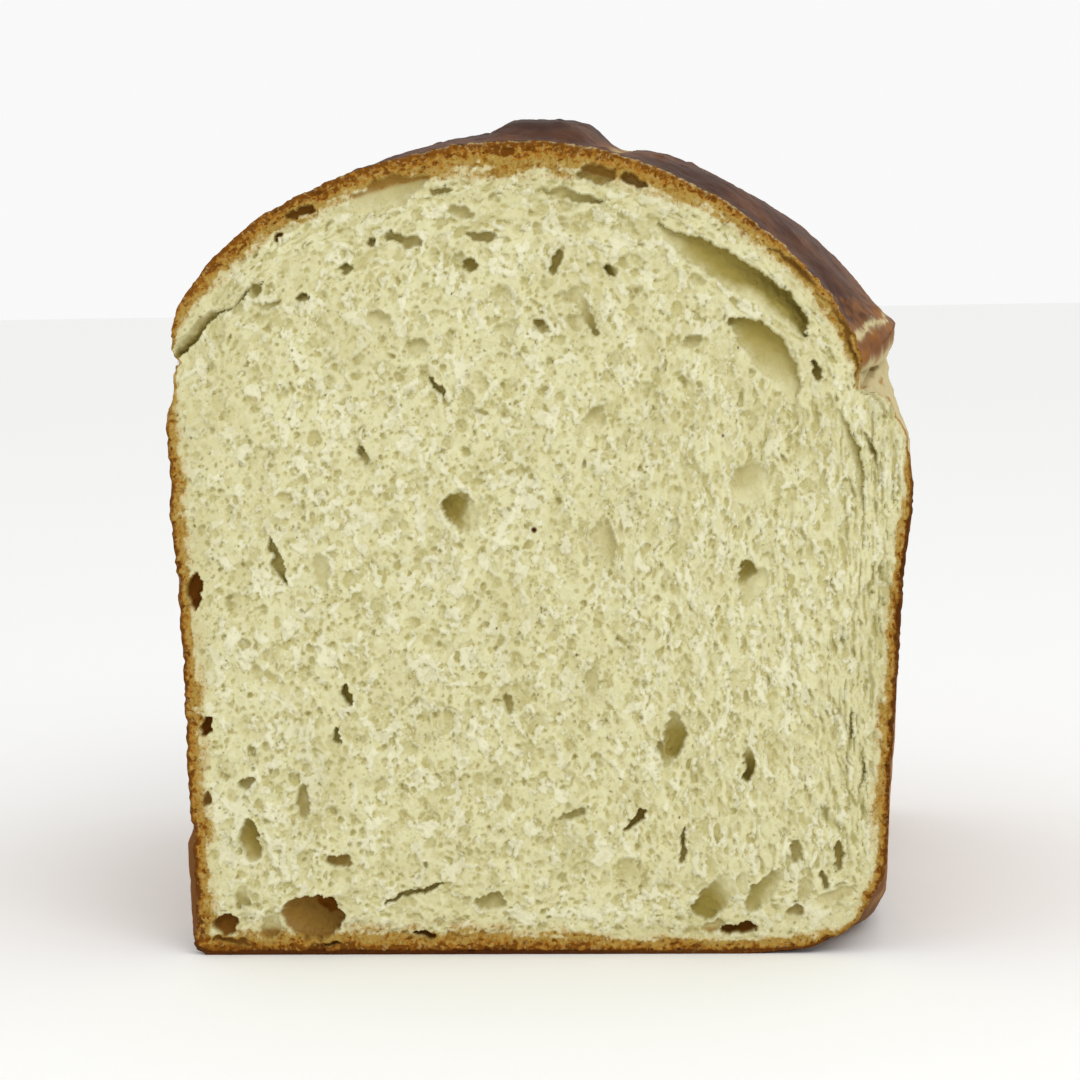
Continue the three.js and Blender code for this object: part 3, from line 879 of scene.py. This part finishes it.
def scattered_cells(rng, size, grid, edge):
    """Random cells of one size, drawn out along the grain. They are finer towards the crust,
    and more of them are small and shallow than large and deep."""
    count = size["count"]
    x = rng.uniform(grid.x[0], grid.x[-1], count)
    z = rng.uniform(grid.z[0], grid.z[-1], count)
    room = grid.read(edge, x, z)
    crown, base, drawn = grain_weights(x, z, room)
    low, high = size["radius"]
    radius = low + (high - low) * rng.random(count) ** 1.6
    strands = smoothstep(13, 5, room) * smoothstep(88, 78, z) * smoothstep(12, 22, z) * (x > 20)
    radius = radius * mix(0.6, 1, smoothstep(1.5, 12, room)) * mix(1, 0.8, drawn)
    radius = radius * mix(1, 0.75, strands)
    long = 1 + rng.random(count) * (0.5 + 1.1 * np.maximum(crown, base) + 2.2 * drawn)
    long = long * mix(1, 2.1, strands)
    turn = np.pi / 2 + np.radians(7) * np.sin(z / 17) + np.radians(0.14) * (x + 5)
    turn = np.where(crown > 0.4, along_crown(x, z) + np.pi / 2, turn)
    turn = np.where(base > 0.4, 0, turn)
    loose = mix(0.6, 0.14, np.maximum(drawn, np.maximum(crown, base))) * mix(1, 0.6, strands)
    low, high = size["depth"]
    chance = rng.random(count)
    return {
        "x": x, "z": z, "width": radius, "length": np.minimum(radius * long, LONGEST_CELL),
        "turn": turn + rng.normal(0, 1, count) * loose,
        "depth": low + (high - low) * chance ** 1.8,
        "deep": rng.normal(np.radians(130), 1.0, count), "lean": rng.uniform(0.1, 0.8, count),
        "flat": rng.uniform(1.0, 2.5, count),
        "shade": size["shade"] * (0.2 + 0.8 * mix(chance, rng.random(count), 0.5) ** 1.6),
    }


class CrumbRelief:
    """The cut face's relief and what its colours follow, on a fine flat grid: depth, the depth
    in named hollows, the painted shade of cells, torn pale lumps, and how browned."""

    def __init__(self, outline, sizes):
        reach = sizes.half_width
        self.grid = grid = FlatField((-reach - 3, -2), (reach + 3, 131), RELIEF_STEP)
        coarse = FlatField((-reach - 4, -3), (reach + 4, 132), EDGE_STEP)
        distance, at = outline.nearest(coarse.gx, coarse.gz)
        edge = coarse.read(distance, grid.gx, grid.gz)
        thick, char = (
            coarse.read(blur(values[at], 0.6, EDGE_STEP), grid.gx, grid.gz)
            for values in (outline.thick, outline.char)
        )
        shape, step = grid.shape, grid.step

        broad, close, tight = (
            [ripple(shape, (size, size), step, SEED + i) for i in seeds]
            for size, seeds in ((2.6, (1, 2)), (0.8, (5, 6)), (0.3, (7, 8)))
        )
        ragged, uneven, smooth = (
            [high * b + middle * c + low * t for b, c, t in zip(broad, close, tight)]
            for high, middle, low in ((0.3, 0.15, 0.05), (0.26, 0.14, 0.04), (0.2, 0.1, 0.04))
        )
        rng = np.random.default_rng(SEED)
        depth = 0.1 * grained(grid, edge, 2.4, 4.0, SEED + 21)
        cell_shade = np.zeros(shape)
        for size in CELL_SIZES:
            warp = [size["warp"] * way for way in ragged]
            pressed, shade = press_cells(grid, warp, scattered_cells(rng, size, grid, edge))
            depth, cell_shade = depth + size["share"] * pressed, np.maximum(cell_shade, shade)

        crown, _, drawn = grain_weights(grid.gx, grid.gz, edge)
        fibrous = smoothstep(14, 6, edge) * smoothstep(90, 80, grid.gz) * (grid.gx > 20)
        fibrous = fibrous * smoothstep(12, 22, grid.gz) + 0.6 * crown * smoothstep(11, 6, edge)
        fibres = grained(grid, edge, 0.36, 4.5, SEED + 24)
        fibres = grid.read(fibres, grid.gx + 0.35 * ragged[0], grid.gz + 0.35 * ragged[1])
        grooves = fibrous * smoothstep(0.45, 1.5, fibres) * smoothstep(1, 2, edge / thick)
        depth, cell_shade = depth + 0.4 * grooves, np.maximum(cell_shade, 0.95 * grooves)
        lumps = mix(grained(grid, edge, 1.3, 2.1, SEED + 31),
                    grained(grid, edge, 0.7, 3.4, SEED + 34), drawn)
        lumps = grid.read(lumps, grid.gx + 1.2 * ragged[0], grid.gz + 1.2 * ragged[1])
        lumps = lumps + 0.35 * ripple(shape, (0.45, 0.7), step, SEED + 37) - 0.7 * cell_shade
        torn = smoothstep(0.5, 0.7, lumps)
        crisp = 0.02 * ripple(shape, (0.25, 0.35), step, SEED + 44)

        large, brown = np.zeros(shape), np.zeros(shape)
        press_hollows(large, brown, grid, uneven)
        for trough in TROUGHS:
            press_trough(large, brown, grid, smooth, trough)
        outside = 1 - smoothstep(0.1, 0.6, large)
        near_crust = smoothstep(1.5, 0.8, edge / np.maximum(thick, 0.2))
        small = depth - 0.2 * torn
        small = small * mix(1, 0.7, near_crust) * mix(0.16, 1, outside) + crisp
        self.depth = (small + large) * smoothstep(0.0, 0.5, edge)
        self.hollow = large
        browned = smoothstep(4.6, 3.6, edge) * smoothstep(1.2, 2.2, thick) * 0.62
        brown = np.maximum(brown, browned)
        self.brown = blur(brown * smoothstep(0.0, 0.05, large), 0.18, step)
        # Painted shade of the cells, darker deeper in each and in the fibre grooves, and none in
        # the named hollows.
        self.cell = cell_shade * outside
        self.torn = lumps - 3 * (1 - outside) - 3 * near_crust
        # Painted light and shade: lighter where the face stands above its surroundings, darker in
        # its pits.
        self.relief_shading = blur(self.depth, 0.6, step) - self.depth
        # Painted shade, darker within about eleven millimetres of the crust, over broad random
        # patches.
        self.shade = 0.6 * grained(grid, edge, 7, 12, SEED + 47) + 1.3 * smoothstep(11, 2, edge)
        rough = 1 + 0.14 * grained(grid, edge, 1.0, 3.0, SEED + 48)
        rough += 0.05 * ripple(shape, (0.5, 0.5), step, SEED + 51)
        bake = edge / np.maximum(thick * np.clip(rough, 0.7, 1.2), 0.12)
        bake = bake + np.interp(char, (0, 0.55, 1), (0.6, 0, -0.22))
        in_hollow = smoothstep(0.2, 0.6, large) * smoothstep(0.5, 0.25, brown)
        self.bake = mix(bake, np.maximum(bake, 2.2), in_hollow)
        on_crown = smoothstep(97, 104, grid.gz)
        self.char = char * (1 - in_hollow) * (1 - on_crown)
        on_crown = on_crown * smoothstep(-26, -6, grid.gx)
        # A pale line along the crown's cut edge: partly its thin pale skin, partly a painted
        # highlight where the edge catches the light.
        self.rim = smoothstep(0.32, 0.08, edge + 0.06 * close[0]) * on_crown
        self.skin = edge

    def read(self, name, x, z):
        return self.grid.read(getattr(self, name), x, z)


def spread_out(mask):
    """The mask and every grid place that touches it."""
    padded = np.pad(mask, 1)
    return sum(
        padded[i:i + mask.shape[0], k:k + mask.shape[1]] for i, k in np.ndindex(3, 3)
    ) > 0


def cut_face_grid(outline, sizes, step):
    """Points of the cut face on an even flat grid. Those just outside the outline are moved to
    its nearest point, and so is a second ring, which is tucked back. Returns x, z, whether each
    is tucked, and which squares of the grid are kept."""
    reach, top = sizes.half_width + 2, sizes.crown_height + 2
    grid = FlatField((-reach, -1), (reach, top), step)
    inside = outline.inside(grid.x, grid.z)
    first = spread_out(inside)
    second = spread_out(first)
    x, z = grid.gx.copy(), grid.gz.copy()
    ring = second & ~inside
    _, at = outline.nearest(x[ring], z[ring])
    x[ring], z[ring] = outline.x[at], outline.z[at]
    tucked = second & ~first

    def corners(mask):
        return np.stack([mask[:-1, :-1], mask[1:, :-1], mask[1:, 1:], mask[:-1, 1:]])

    kept = corners(second).all(0) & corners(first).any(0)
    return x, z, tucked, kept


# ---- Meshes and materials


def put_mesh(name, points, fields, kept=None, normals=None, weld=False):
    """A mesh object from a grid of points in millimetres, with a float attribute for each field
    and a flat map of its own that follows the grid. Only the kept squares are made. Welding
    merges the doubled points of seams and poles, so that they are closed."""
    columns, rows = points.shape[:2]
    index = np.arange(columns * rows).reshape(columns, rows)
    quads = np.stack([
        index[:-1, :-1], index[1:, :-1], index[1:, 1:], index[:-1, 1:],
    ], -1)
    quads = quads.reshape(-1, 4) if kept is None else quads[kept]
    used, quads = np.unique(quads, return_inverse=True)
    quads = quads.reshape(-1, 4)
    mesh = bpy.data.meshes.new(name)
    flat = (points.reshape(-1, 3)[used] * MM).astype(np.float32)
    mesh.vertices.add(len(flat))
    mesh.vertices.foreach_set("co", flat.ravel())
    mesh.loops.add(quads.size)
    mesh.loops.foreach_set("vertex_index", quads.ravel().astype(np.int32))
    mesh.polygons.add(len(quads))
    mesh.polygons.foreach_set("loop_start", np.arange(0, quads.size, 4, dtype=np.int32))
    mesh.update(calc_edges=True)
    for key, values in fields.items():
        attribute = mesh.attributes.new(key, "FLOAT", "POINT")
        attribute.data.foreach_set("value", values.ravel()[used].astype(np.float32))
    u, v = np.linspace(0, 1, columns), np.linspace(0, 1, rows)
    flat_map = np.stack(np.meshgrid(u, v, indexing="ij"), -1).reshape(-1, 2)[used]
    layer = mesh.uv_layers.new(name="OFBake")
    layer.uv.foreach_set("vector", flat_map[quads.ravel()].astype(np.float32).ravel())
    if weld:
        shape = bmesh.new()
        shape.from_mesh(mesh)
        bmesh.ops.remove_doubles(shape, verts=shape.verts, dist=1e-6)
        shape.to_mesh(mesh)
        shape.free()
    mesh.shade_smooth()
    if normals is not None:
        own = normals.reshape(-1, 3)[used].astype(np.float32)
        mesh.normals_split_custom_set_from_vertices(own)
    mesh.validate()
    piece = bpy.data.objects.new(name, mesh)
    bpy.context.scene.collection.objects.link(piece)
    return piece


def ride_as_loaf(piece):
    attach(piece, "root")
    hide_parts(NODE)


class Nodes:
    """A small helper that adds shader nodes to one material and links them."""

    def __init__(self, name):
        self.material = bpy.data.materials.new(name)
        self.material.use_nodes = True
        self.tree = self.material.node_tree
        self.tree.nodes.clear()
        self.shader = self.add("BsdfPrincipled")
        self.add("OutputMaterial", {"Surface": self.shader.outputs["BSDF"]})
        self.place = self.add("TexCoord").outputs["Object"]

    def add(self, kind, inputs=None, **settings):
        """Adds a node, with its settings, and its inputs set or linked."""
        node = self.tree.nodes.new("ShaderNode" + kind)
        for name, value in settings.items():
            setattr(node, name, value)
        self.put(node, inputs or {})
        return node

    def put(self, node, inputs):
        for name, value in inputs.items():
            socket = node.inputs[name]
            if isinstance(value, bpy.types.NodeSocket):
                self.tree.links.new(value, socket)
            elif isinstance(value, (int, float)):
                socket.default_value = value
            else:
                socket.default_value = (*value, 1)[:len(socket.default_value)]

    def attribute(self, name):
        return self.add("Attribute", attribute_name=name).outputs["Fac"]

    def blend(self, amount, first, second):
        inputs = {"Factor": amount, "A": first, "B": second}
        return self.add("Mix", inputs, data_type="RGBA").outputs["Result"]

    def math(self, operation, first, second):
        return self.add("Math", {0: first, 1: second}, operation=operation).outputs["Value"]

    def times(self, first, second):
        return self.math("MULTIPLY", first, second)

    def plus(self, first, second):
        return self.math("ADD", first, second)

    def spread(self, value, low, high, to_low=0.0, to_high=1.0):
        """A smooth step of a value between two limits."""
        inputs = {"Value": value, "From Min": low, "From Max": high, "To Min": to_low,
                  "To Max": to_high}
        node = self.add("MapRange", inputs, interpolation_type="SMOOTHSTEP")
        return node.outputs["Result"]

    def pattern(self, kind, size, stretch, **inputs):
        """A procedural pattern whose lumps or cells are about the given size, in millimetres."""
        mapping = self.add("Mapping", {"Vector": self.place, "Scale": stretch})
        inputs = {"Vector": mapping.outputs["Vector"], "Scale": 1 / (size * MM), **inputs}
        return self.add(kind, inputs)

    def noise(self, size, detail=3.0, stretch=(1, 1, 1)):
        return self.pattern("TexNoise", size, stretch, Detail=detail).outputs["Fac"]

    def bubbles(self, size):
        """The distance to the nearest of many scattered points."""
        return self.pattern("TexVoronoi", size, (1, 1, 1)).outputs["Distance"]

    def flakes(self, size, stretch):
        """A random number, the same all over each of many angular flakes."""
        colour = self.pattern("TexVoronoi", size, stretch).outputs["Color"]
        return self.add("SeparateColor", {"Color": colour}).outputs["Red"]

    def ramp(self, value, stops):
        """Colours along a value: a list of places and the colour at each."""
        node = self.add("ValToRGB", {"Fac": value})
        elements = node.color_ramp.elements
        while len(elements) < len(stops):
            elements.new(1.0)
        for element, (place, colour) in zip(elements, stops):
            element.position, element.color = place, (*colour, 1)
        return node.outputs["Color"]

    def bump(self, height, distance, strength, under=None):
        """Relief from a height, its distance in millimetres, on the relief under it."""
        inputs = {"Height": height, "Distance": distance * MM, "Strength": strength}
        if under is not None:
            inputs["Normal"] = under
        return self.add("Bump", inputs).outputs["Normal"]

    def finish(self, colour, roughness, specular, normal=None):
        """Sets the shader's sockets and returns the material."""
        inputs = {"Base Color": colour, "Roughness": roughness, "Specular IOR Level": specular}
        if normal is not None:
            inputs["Normal"] = normal
        self.put(self.shader, inputs)
        return self.material


def crumb_material(look):
    """Pale torn lumps, cells and hollows darkened to olive as painted shade, and an edge that
    browns through gold to a dark outer line. Bubbles too small for the mesh are in the bump,
    and in the colour as painted shade in their dimples."""
    nodes = Nodes("open_crumb")
    times, plus, spread, blend, noise = (
        nodes.times, nodes.plus, nodes.spread, nodes.blend, nodes.noise
    )
    field = {name: nodes.attribute(name) for name in (*CRUMB_FIELDS, "speck")}
    fine = noise(0.45, 4)
    flake, small_flake = nodes.flakes(1.1, (1, 1, 0.6)), nodes.flakes(0.6, (1, 1, 0.7))

    # Cells and the finest bubbles, with painted shade in them and painted light on ridges; torn
    # lumps over them; flakes; painted shade towards the crust; and the hollows, painted darker.
    many = spread(noise(2.2, 3), 0.42, 0.6, 0.06, 0.42)
    # Painted shade in the finest bubbles: darker in the middle of each, where the bump dips.
    foam = times(spread(nodes.bubbles(0.55), 0.42, 0.22), many)
    cell = plus(plus(field["cell"], foam), times(field["relief_shading"], -1.2))
    colour = blend(spread(cell, -0.05, 1.05), look.wall_colour, look.floor_colour)
    ragged = times(plus(noise(0.4, 3), -0.5), 1.2)
    torn = spread(plus(field["torn"], ragged), 0.5, 0.62)
    for amount, tint in (
        (times(torn, 0.6), look.torn_colour),
        (times(spread(field["shade"], 0, 2.2), 0.44), look.floor_colour),
        (times(spread(flake, 0.1, 1.0), 0.22), look.grey_colour),
        (times(spread(small_flake, 0.6, 1.0), 0.25), look.torn_colour),
        (times(spread(fine, 0.52, 0.7), 0.14), look.floor_colour),
        (spread(field["hollow"], 0.15, 2.4), look.hollow_shade_colour),
    ):
        colour = blend(amount, colour, tint)

    # The browned edge, made uneven by grit, flakes and the cells it runs through.
    bake = field["bake"]
    grit = plus(plus(noise(1.0, 4), -0.5), times(plus(small_flake, -0.5), 0.3))
    grit = times(grit, spread(bake, 0.5, 1.1, 1.0, 0.5))
    pore = times(times(spread(cell, 0.15, 0.8), -0.34), spread(bake, 0.75, 1.1, 1.2, 0.0))
    grit = plus(grit, pore)
    baked = times(plus(bake, grit), 0.5)
    edge = nodes.ramp(baked, (
        (0.0, look.edge_brown), (0.06, look.edge_brown), (0.16, look.edge_amber),
        (0.28, look.edge_gold), (0.4, look.edge_gold), (0.52, look.edge_tan),
    ))
    grains = noise(0.6, 3)
    edge = blend(times(spread(grains, 0.54, 0.64), 0.5), edge, look.edge_brown)
    pale = blend(0.35, look.edge_gold, look.edge_tan)
    edge = blend(times(spread(grains, 0.44, 0.34), 0.5), edge, pale)
    char = field["char"]
    line = plus(plus(field["skin"], times(grit, 0.4)), times(char, -0.5))
    brown = field["brown"]
    for amount, tint in (
        (spread(baked, 0.68, 0.46), edge),
        (times(spread(line, 0.4, 0.05), char), look.edge_dark),
        # The pale line on the crown's cut edge: partly thin pale skin, partly painted highlight.
        (times(field["rim"], spread(fine, 0.3, 0.6, 0.2, 0.7)), look.edge_tan),
        (spread(brown, 0.0, 0.85),
         blend(spread(brown, 0.2, 1.0), look.edge_gold, look.edge_brown)),
        (field["speck"], look.speck_colour),
    ):
        colour = blend(amount, colour, tint)
    normal = nodes.bump(foam, -0.12, 0.7, nodes.bump(fine, 0.08, 0.5))
    return nodes.finish(colour, 0.66, 0.0, normal)


def crust_material(look):
    """A roasted skin: mahogany crown, browned lip, pale torn band, mottled golden walls and a
    base with burnt patches, each where the piece's own bands put it."""
    nodes = Nodes("roasted_crust")
    times, spread, blend, noise = nodes.times, nodes.spread, nodes.blend, nodes.noise
    crown, torn, lip, roast, scorch, rib = (
        nodes.attribute(name) for name in ("crown", "torn", "lip", "roast", "scorch", "rib")
    )
    mottle, fine, streak = noise(6, 5), noise(1.1, 4), noise(0.5, 5, (1, 0.2, 1))
    wall = blend(spread(roast, -0.6, 1.1), look.wall_colour, look.wall_dark)
    wall = blend(times(spread(fine, 0.5, 0.72), 0.5), wall, look.wall_dark)
    top = blend(spread(roast, -0.9, 0.9), look.crown_colour, look.crown_dark)
    top = blend(times(spread(mottle, 0.45, 0.7), 0.6), top, look.crown_dark)
    top = blend(times(spread(streak, 0.5, 0.75), 0.4), top, look.crown_dark)
    patch = times(spread(noise(4, 4), 0.4, 0.65), 0.8)
    rim = blend(patch, look.lip_colour, look.crown_colour)
    top = blend(spread(lip, 0.15, 1.0), top, rim)
    colour = blend(crown, wall, top)
    pale = blend(spread(rib, -0.1, -0.8), look.torn_colour, look.wall_colour)
    colour = blend(torn, colour, pale)
    colour = blend(scorch, colour, look.scorch_colour)
    rough = nodes.plus(spread(crown, 0, 1, 0.66, look.crown_roughness), times(torn, 0.25))
    normal = nodes.bump(noise(2.2, 5), 0.25, 0.5, nodes.bump(streak, 0.10, 0.6))
    return nodes.finish(colour, rough, 0.1, normal)


def skin_fields(points, bands, sizes):
    """What the crust's colours follow, from 0 to 1: crown, lip, torn band, roast and scorch."""
    band = np.broadcast_to(bands, points.shape[:-1])
    depth = points[..., 1] + sizes.length / 2
    ragged = 0.22 * clouds(points, 3.0, SEED + 51) + 0.1 * clouds(points, 1.0, SEED + 55)
    rib = torn_ribs(points)
    strands = 4.7 + 0.35 * np.maximum(rib, 0) * smoothstep(30, 4, depth)
    torn = smoothstep(2.95, 3.2, band + ragged) * smoothstep(0.22, -0.22, band - strands)
    split = bell((band - 5.13 - 0.12 * ragged) / 0.016) * smoothstep(1, 4, depth)
    torn = np.maximum(torn, split * smoothstep(62, 40, depth) * (points[..., 0] > 0))
    crown = smoothstep(4.3, 4.7, band)
    lip = smoothstep(5.36, 5.08, band + 0.5 * ragged) * crown
    x = points[..., 0]
    along, drift = split_along(depth)
    opened = bell((x - FURROW_X - drift + 0.6) / 2.6) * along * (band > 5)
    lip = np.maximum(lip, opened * 0.9)
    torn = np.maximum(torn, smoothstep(0.75, 1.1, opened + 0.6 * ragged) * 0.6)
    roast = clouds(points, 16.0, SEED + 59) + 0.5 * clouds(points, 4.0, SEED + 63)
    roast = roast + 0.7 * smoothstep(2.25, 1.6, band)
    roast = roast - 0.5 * smoothstep(2.3, 3.0, band) * (band < 4)
    roast = roast + 1.2 * smoothstep(6, 1, depth) * (band < 3)
    low = smoothstep(1.9, 0.8, band)
    patches = clouds(points, 12.0, SEED + 67, 4)
    near_corner = smoothstep(8, 2, depth) * smoothstep(30, 45, x) * (band < 2)
    scorch = low * smoothstep(0.15, 0.6, patches + 0.7 * near_corner)
    ear = bell((x - EAR_X - drift) / (1.1 * EAR_HALF_WIDTH)) * along * smoothstep(5.3, 5.5, band)
    roast = roast + 1.6 * ear * (1 - opened)
    scorch = np.maximum(scorch, smoothstep(0.5, 0.9, ear + 0.5 * ragged) * (1 - opened) * 0.4)
    return {
        "torn": torn, "crown": crown, "lip": lip, "roast": roast, "scorch": scorch, "rib": rib,
    }


# ---- Operators


class TINLOAF_OT_crown(bpy.types.Operator):
    """Sweep the domed crown, from the neck of the torn band over the lip to the crest"""

    bl_idname = "tinloaf.crown"
    bl_label = "Crown crust"

    def execute(self, context):
        make_skin("crown_crust", CROWN_BANDS, context)
        return {"FINISHED"}


class TINLOAF_OT_sides(bpy.types.Operator):
    """Sweep the tin-baked sides and base, from the base's middle line to the neck"""

    bl_idname = "tinloaf.sides"
    bl_label = "Tin-baked crust"

    def execute(self, context):
        make_skin("tin_crust", SIDE_BANDS, context)
        return {"FINISHED"}


def make_skin(name, bands, context):
    sizes = in_millimetres(context.scene.tinloaf_sizes)
    points = rough_skin(rim_stations(sizes), bands, sizes)
    piece = put_mesh(name, points, skin_fields(points, bands, sizes), weld=True)
    material = bpy.data.materials.get("roasted_crust")
    piece.data.materials.append(material or crust_material(context.scene.tinloaf_crust))
    ride_as_loaf(piece)


class TINLOAF_OT_crumb(bpy.types.Operator):
    """Press the cells and hollows into the cut face, and make it in upright strips"""

    bl_idname = "tinloaf.crumb"
    bl_label = "Crumb"

    def execute(self, context):
        sizes = in_millimetres(context.scene.tinloaf_sizes)
        look = context.scene.tinloaf_crumb
        outline = CutOutline(sizes)
        relief = CrumbRelief(outline, sizes)
        x, z, tucked, kept = cut_face_grid(outline, sizes, look.step / MM)
        depth = np.where(tucked, TUCK, relief.read("depth", x, z))
        points = np.stack([x, depth - sizes.length / 2, z], -1)
        fields = {name: relief.read(name, x, z) for name in CRUMB_FIELDS}
        specks = [smoothstep(r, r * 0.5, np.hypot(x - sx, z - sz)) for sx, sz, r in SPECKS]
        fields["speck"] = np.max(specks, axis=0)
        normals = grid_normals(points)
        material = crumb_material(look)
        edges = np.linspace(0, len(x) - 1, look.strips + 1).astype(int)
        for number, (start, end) in enumerate(zip(edges, edges[1:]), 1):
            part = slice(start, end + 1)
            own = {name: values[part] for name, values in fields.items()}
            piece = put_mesh(
                f"crumb_{number}", points[part], own, kept[start:end], normals[part],
            )
            piece.data.materials.append(material)
            ride_as_loaf(piece)
        return {"FINISHED"}


class TINLOAF_OT_stage(bpy.types.Operator):
    """Lay a pale floor, hang soft lights and set up the camera"""

    bl_idname = "tinloaf.stage"
    bl_label = "Stage"

    def execute(self, context):
        scene, look = context.scene, context.scene.tinloaf_stage
        front = Vector((0, -scene.tinloaf_sizes.length / 2, 0))
        self.floor(scene, look)
        self.sky(scene, look)
        self.lamp(scene, look, front)
        self.camera(scene, look, front)
        scene.view_settings.view_transform = "Standard"
        return {"FINISHED"}

    def floor(self, scene, look):
        mesh = bpy.data.meshes.new("floor")
        corners = [(x * look.floor_size, y * look.floor_size, 0)
                   for x, y in ((-1, -1), (1, -1), (1, 1), (-1, 1))]
        mesh.from_pydata(corners, [], [(0, 1, 2, 3)])
        mesh.materials.append(Nodes("pale_floor").finish(look.floor_colour, 0.9, 0.1))
        floor = bpy.data.objects.new("floor", mesh)
        scene.collection.objects.link(floor)

    def sky(self, scene, look):
        world = bpy.data.worlds.new("studio")
        world.use_nodes = True
        background = world.node_tree.nodes["Background"]
        background.inputs["Color"].default_value = (1, 1, 1, 1)
        background.inputs["Strength"].default_value = look.sky
        scene.world = world

    def lamp(self, scene, look, front):
        light = bpy.data.lights.new("key", "AREA")
        light.shape, light.size, light.energy = "DISK", look.key_size, look.key
        lamp = bpy.data.objects.new("key", light)
        lamp.location = front + Vector(look.key_place)
        aim = front + Vector((0, 0, look.key_aim)) - lamp.location
        lamp.rotation_euler = aim.to_track_quat("-Z", "Y").to_euler()
        scene.collection.objects.link(lamp)

    def camera(self, scene, look, front):
        data = bpy.data.cameras.new("camera")
        data.lens, data.sensor_width = look.lens, 36
        camera = bpy.data.objects.new("camera", data)
        cos, sin = math.cos(look.elevation), math.sin(look.elevation)
        back = Vector((math.sin(look.azimuth) * cos, -math.cos(look.azimuth) * cos, sin))
        right = Vector((0, 0, 1)).cross(back).normalized()
        turn = Matrix((right, back.cross(right), back)).transposed()
        lean = Matrix.Rotation(look.roll, 3, "Z")
        place = front + Vector((0, 0, look.target_height)) + back * look.distance
        camera.matrix_world = Matrix.Translation(place) @ (turn @ lean).to_4x4()
        scene.collection.objects.link(camera)
        scene.camera = camera


class TINLOAF_PT_panel(bpy.types.Panel):
    """Lists the loaf's operators and sizes"""

    bl_label = "Tin Loaf"
    bl_idname = "TINLOAF_PT_panel"
    bl_space_type = "VIEW_3D"
    bl_region_type = "UI"
    bl_category = "Tin Loaf"

    def draw(self, context):
        for operator in OPERATORS:
            self.layout.operator(operator.bl_idname)
        for _, attribute in GROUPS:
            group = getattr(context.scene, attribute)
            for name in group.__annotations__:
                self.layout.prop(group, name)


GROUPS = (
    (LoafSizes, "tinloaf_sizes"), (CrustLook, "tinloaf_crust"),
    (CrumbLook, "tinloaf_crumb"), (StageLook, "tinloaf_stage"),
)
OPERATORS = (TINLOAF_OT_crown, TINLOAF_OT_sides, TINLOAF_OT_crumb, TINLOAF_OT_stage)


def register():
    for group, attribute in GROUPS:
        bpy.utils.register_class(group)
        setattr(bpy.types.Scene, attribute, PointerProperty(type=group))
    for operator in OPERATORS:
        bpy.utils.register_class(operator)
    bpy.utils.register_class(TINLOAF_PT_panel)


def unregister():
    bpy.utils.unregister_class(TINLOAF_PT_panel)
    for operator in reversed(OPERATORS):
        bpy.utils.unregister_class(operator)
    for group, attribute in reversed(GROUPS):
        delattr(bpy.types.Scene, attribute)
        bpy.utils.unregister_class(group)


def main():
    register()
    bpy.ops.tinloaf.crown()
    bpy.ops.tinloaf.sides()
    bpy.ops.tinloaf.crumb()
    bpy.ops.tinloaf.stage()


if __name__ == "__main__":
    main()
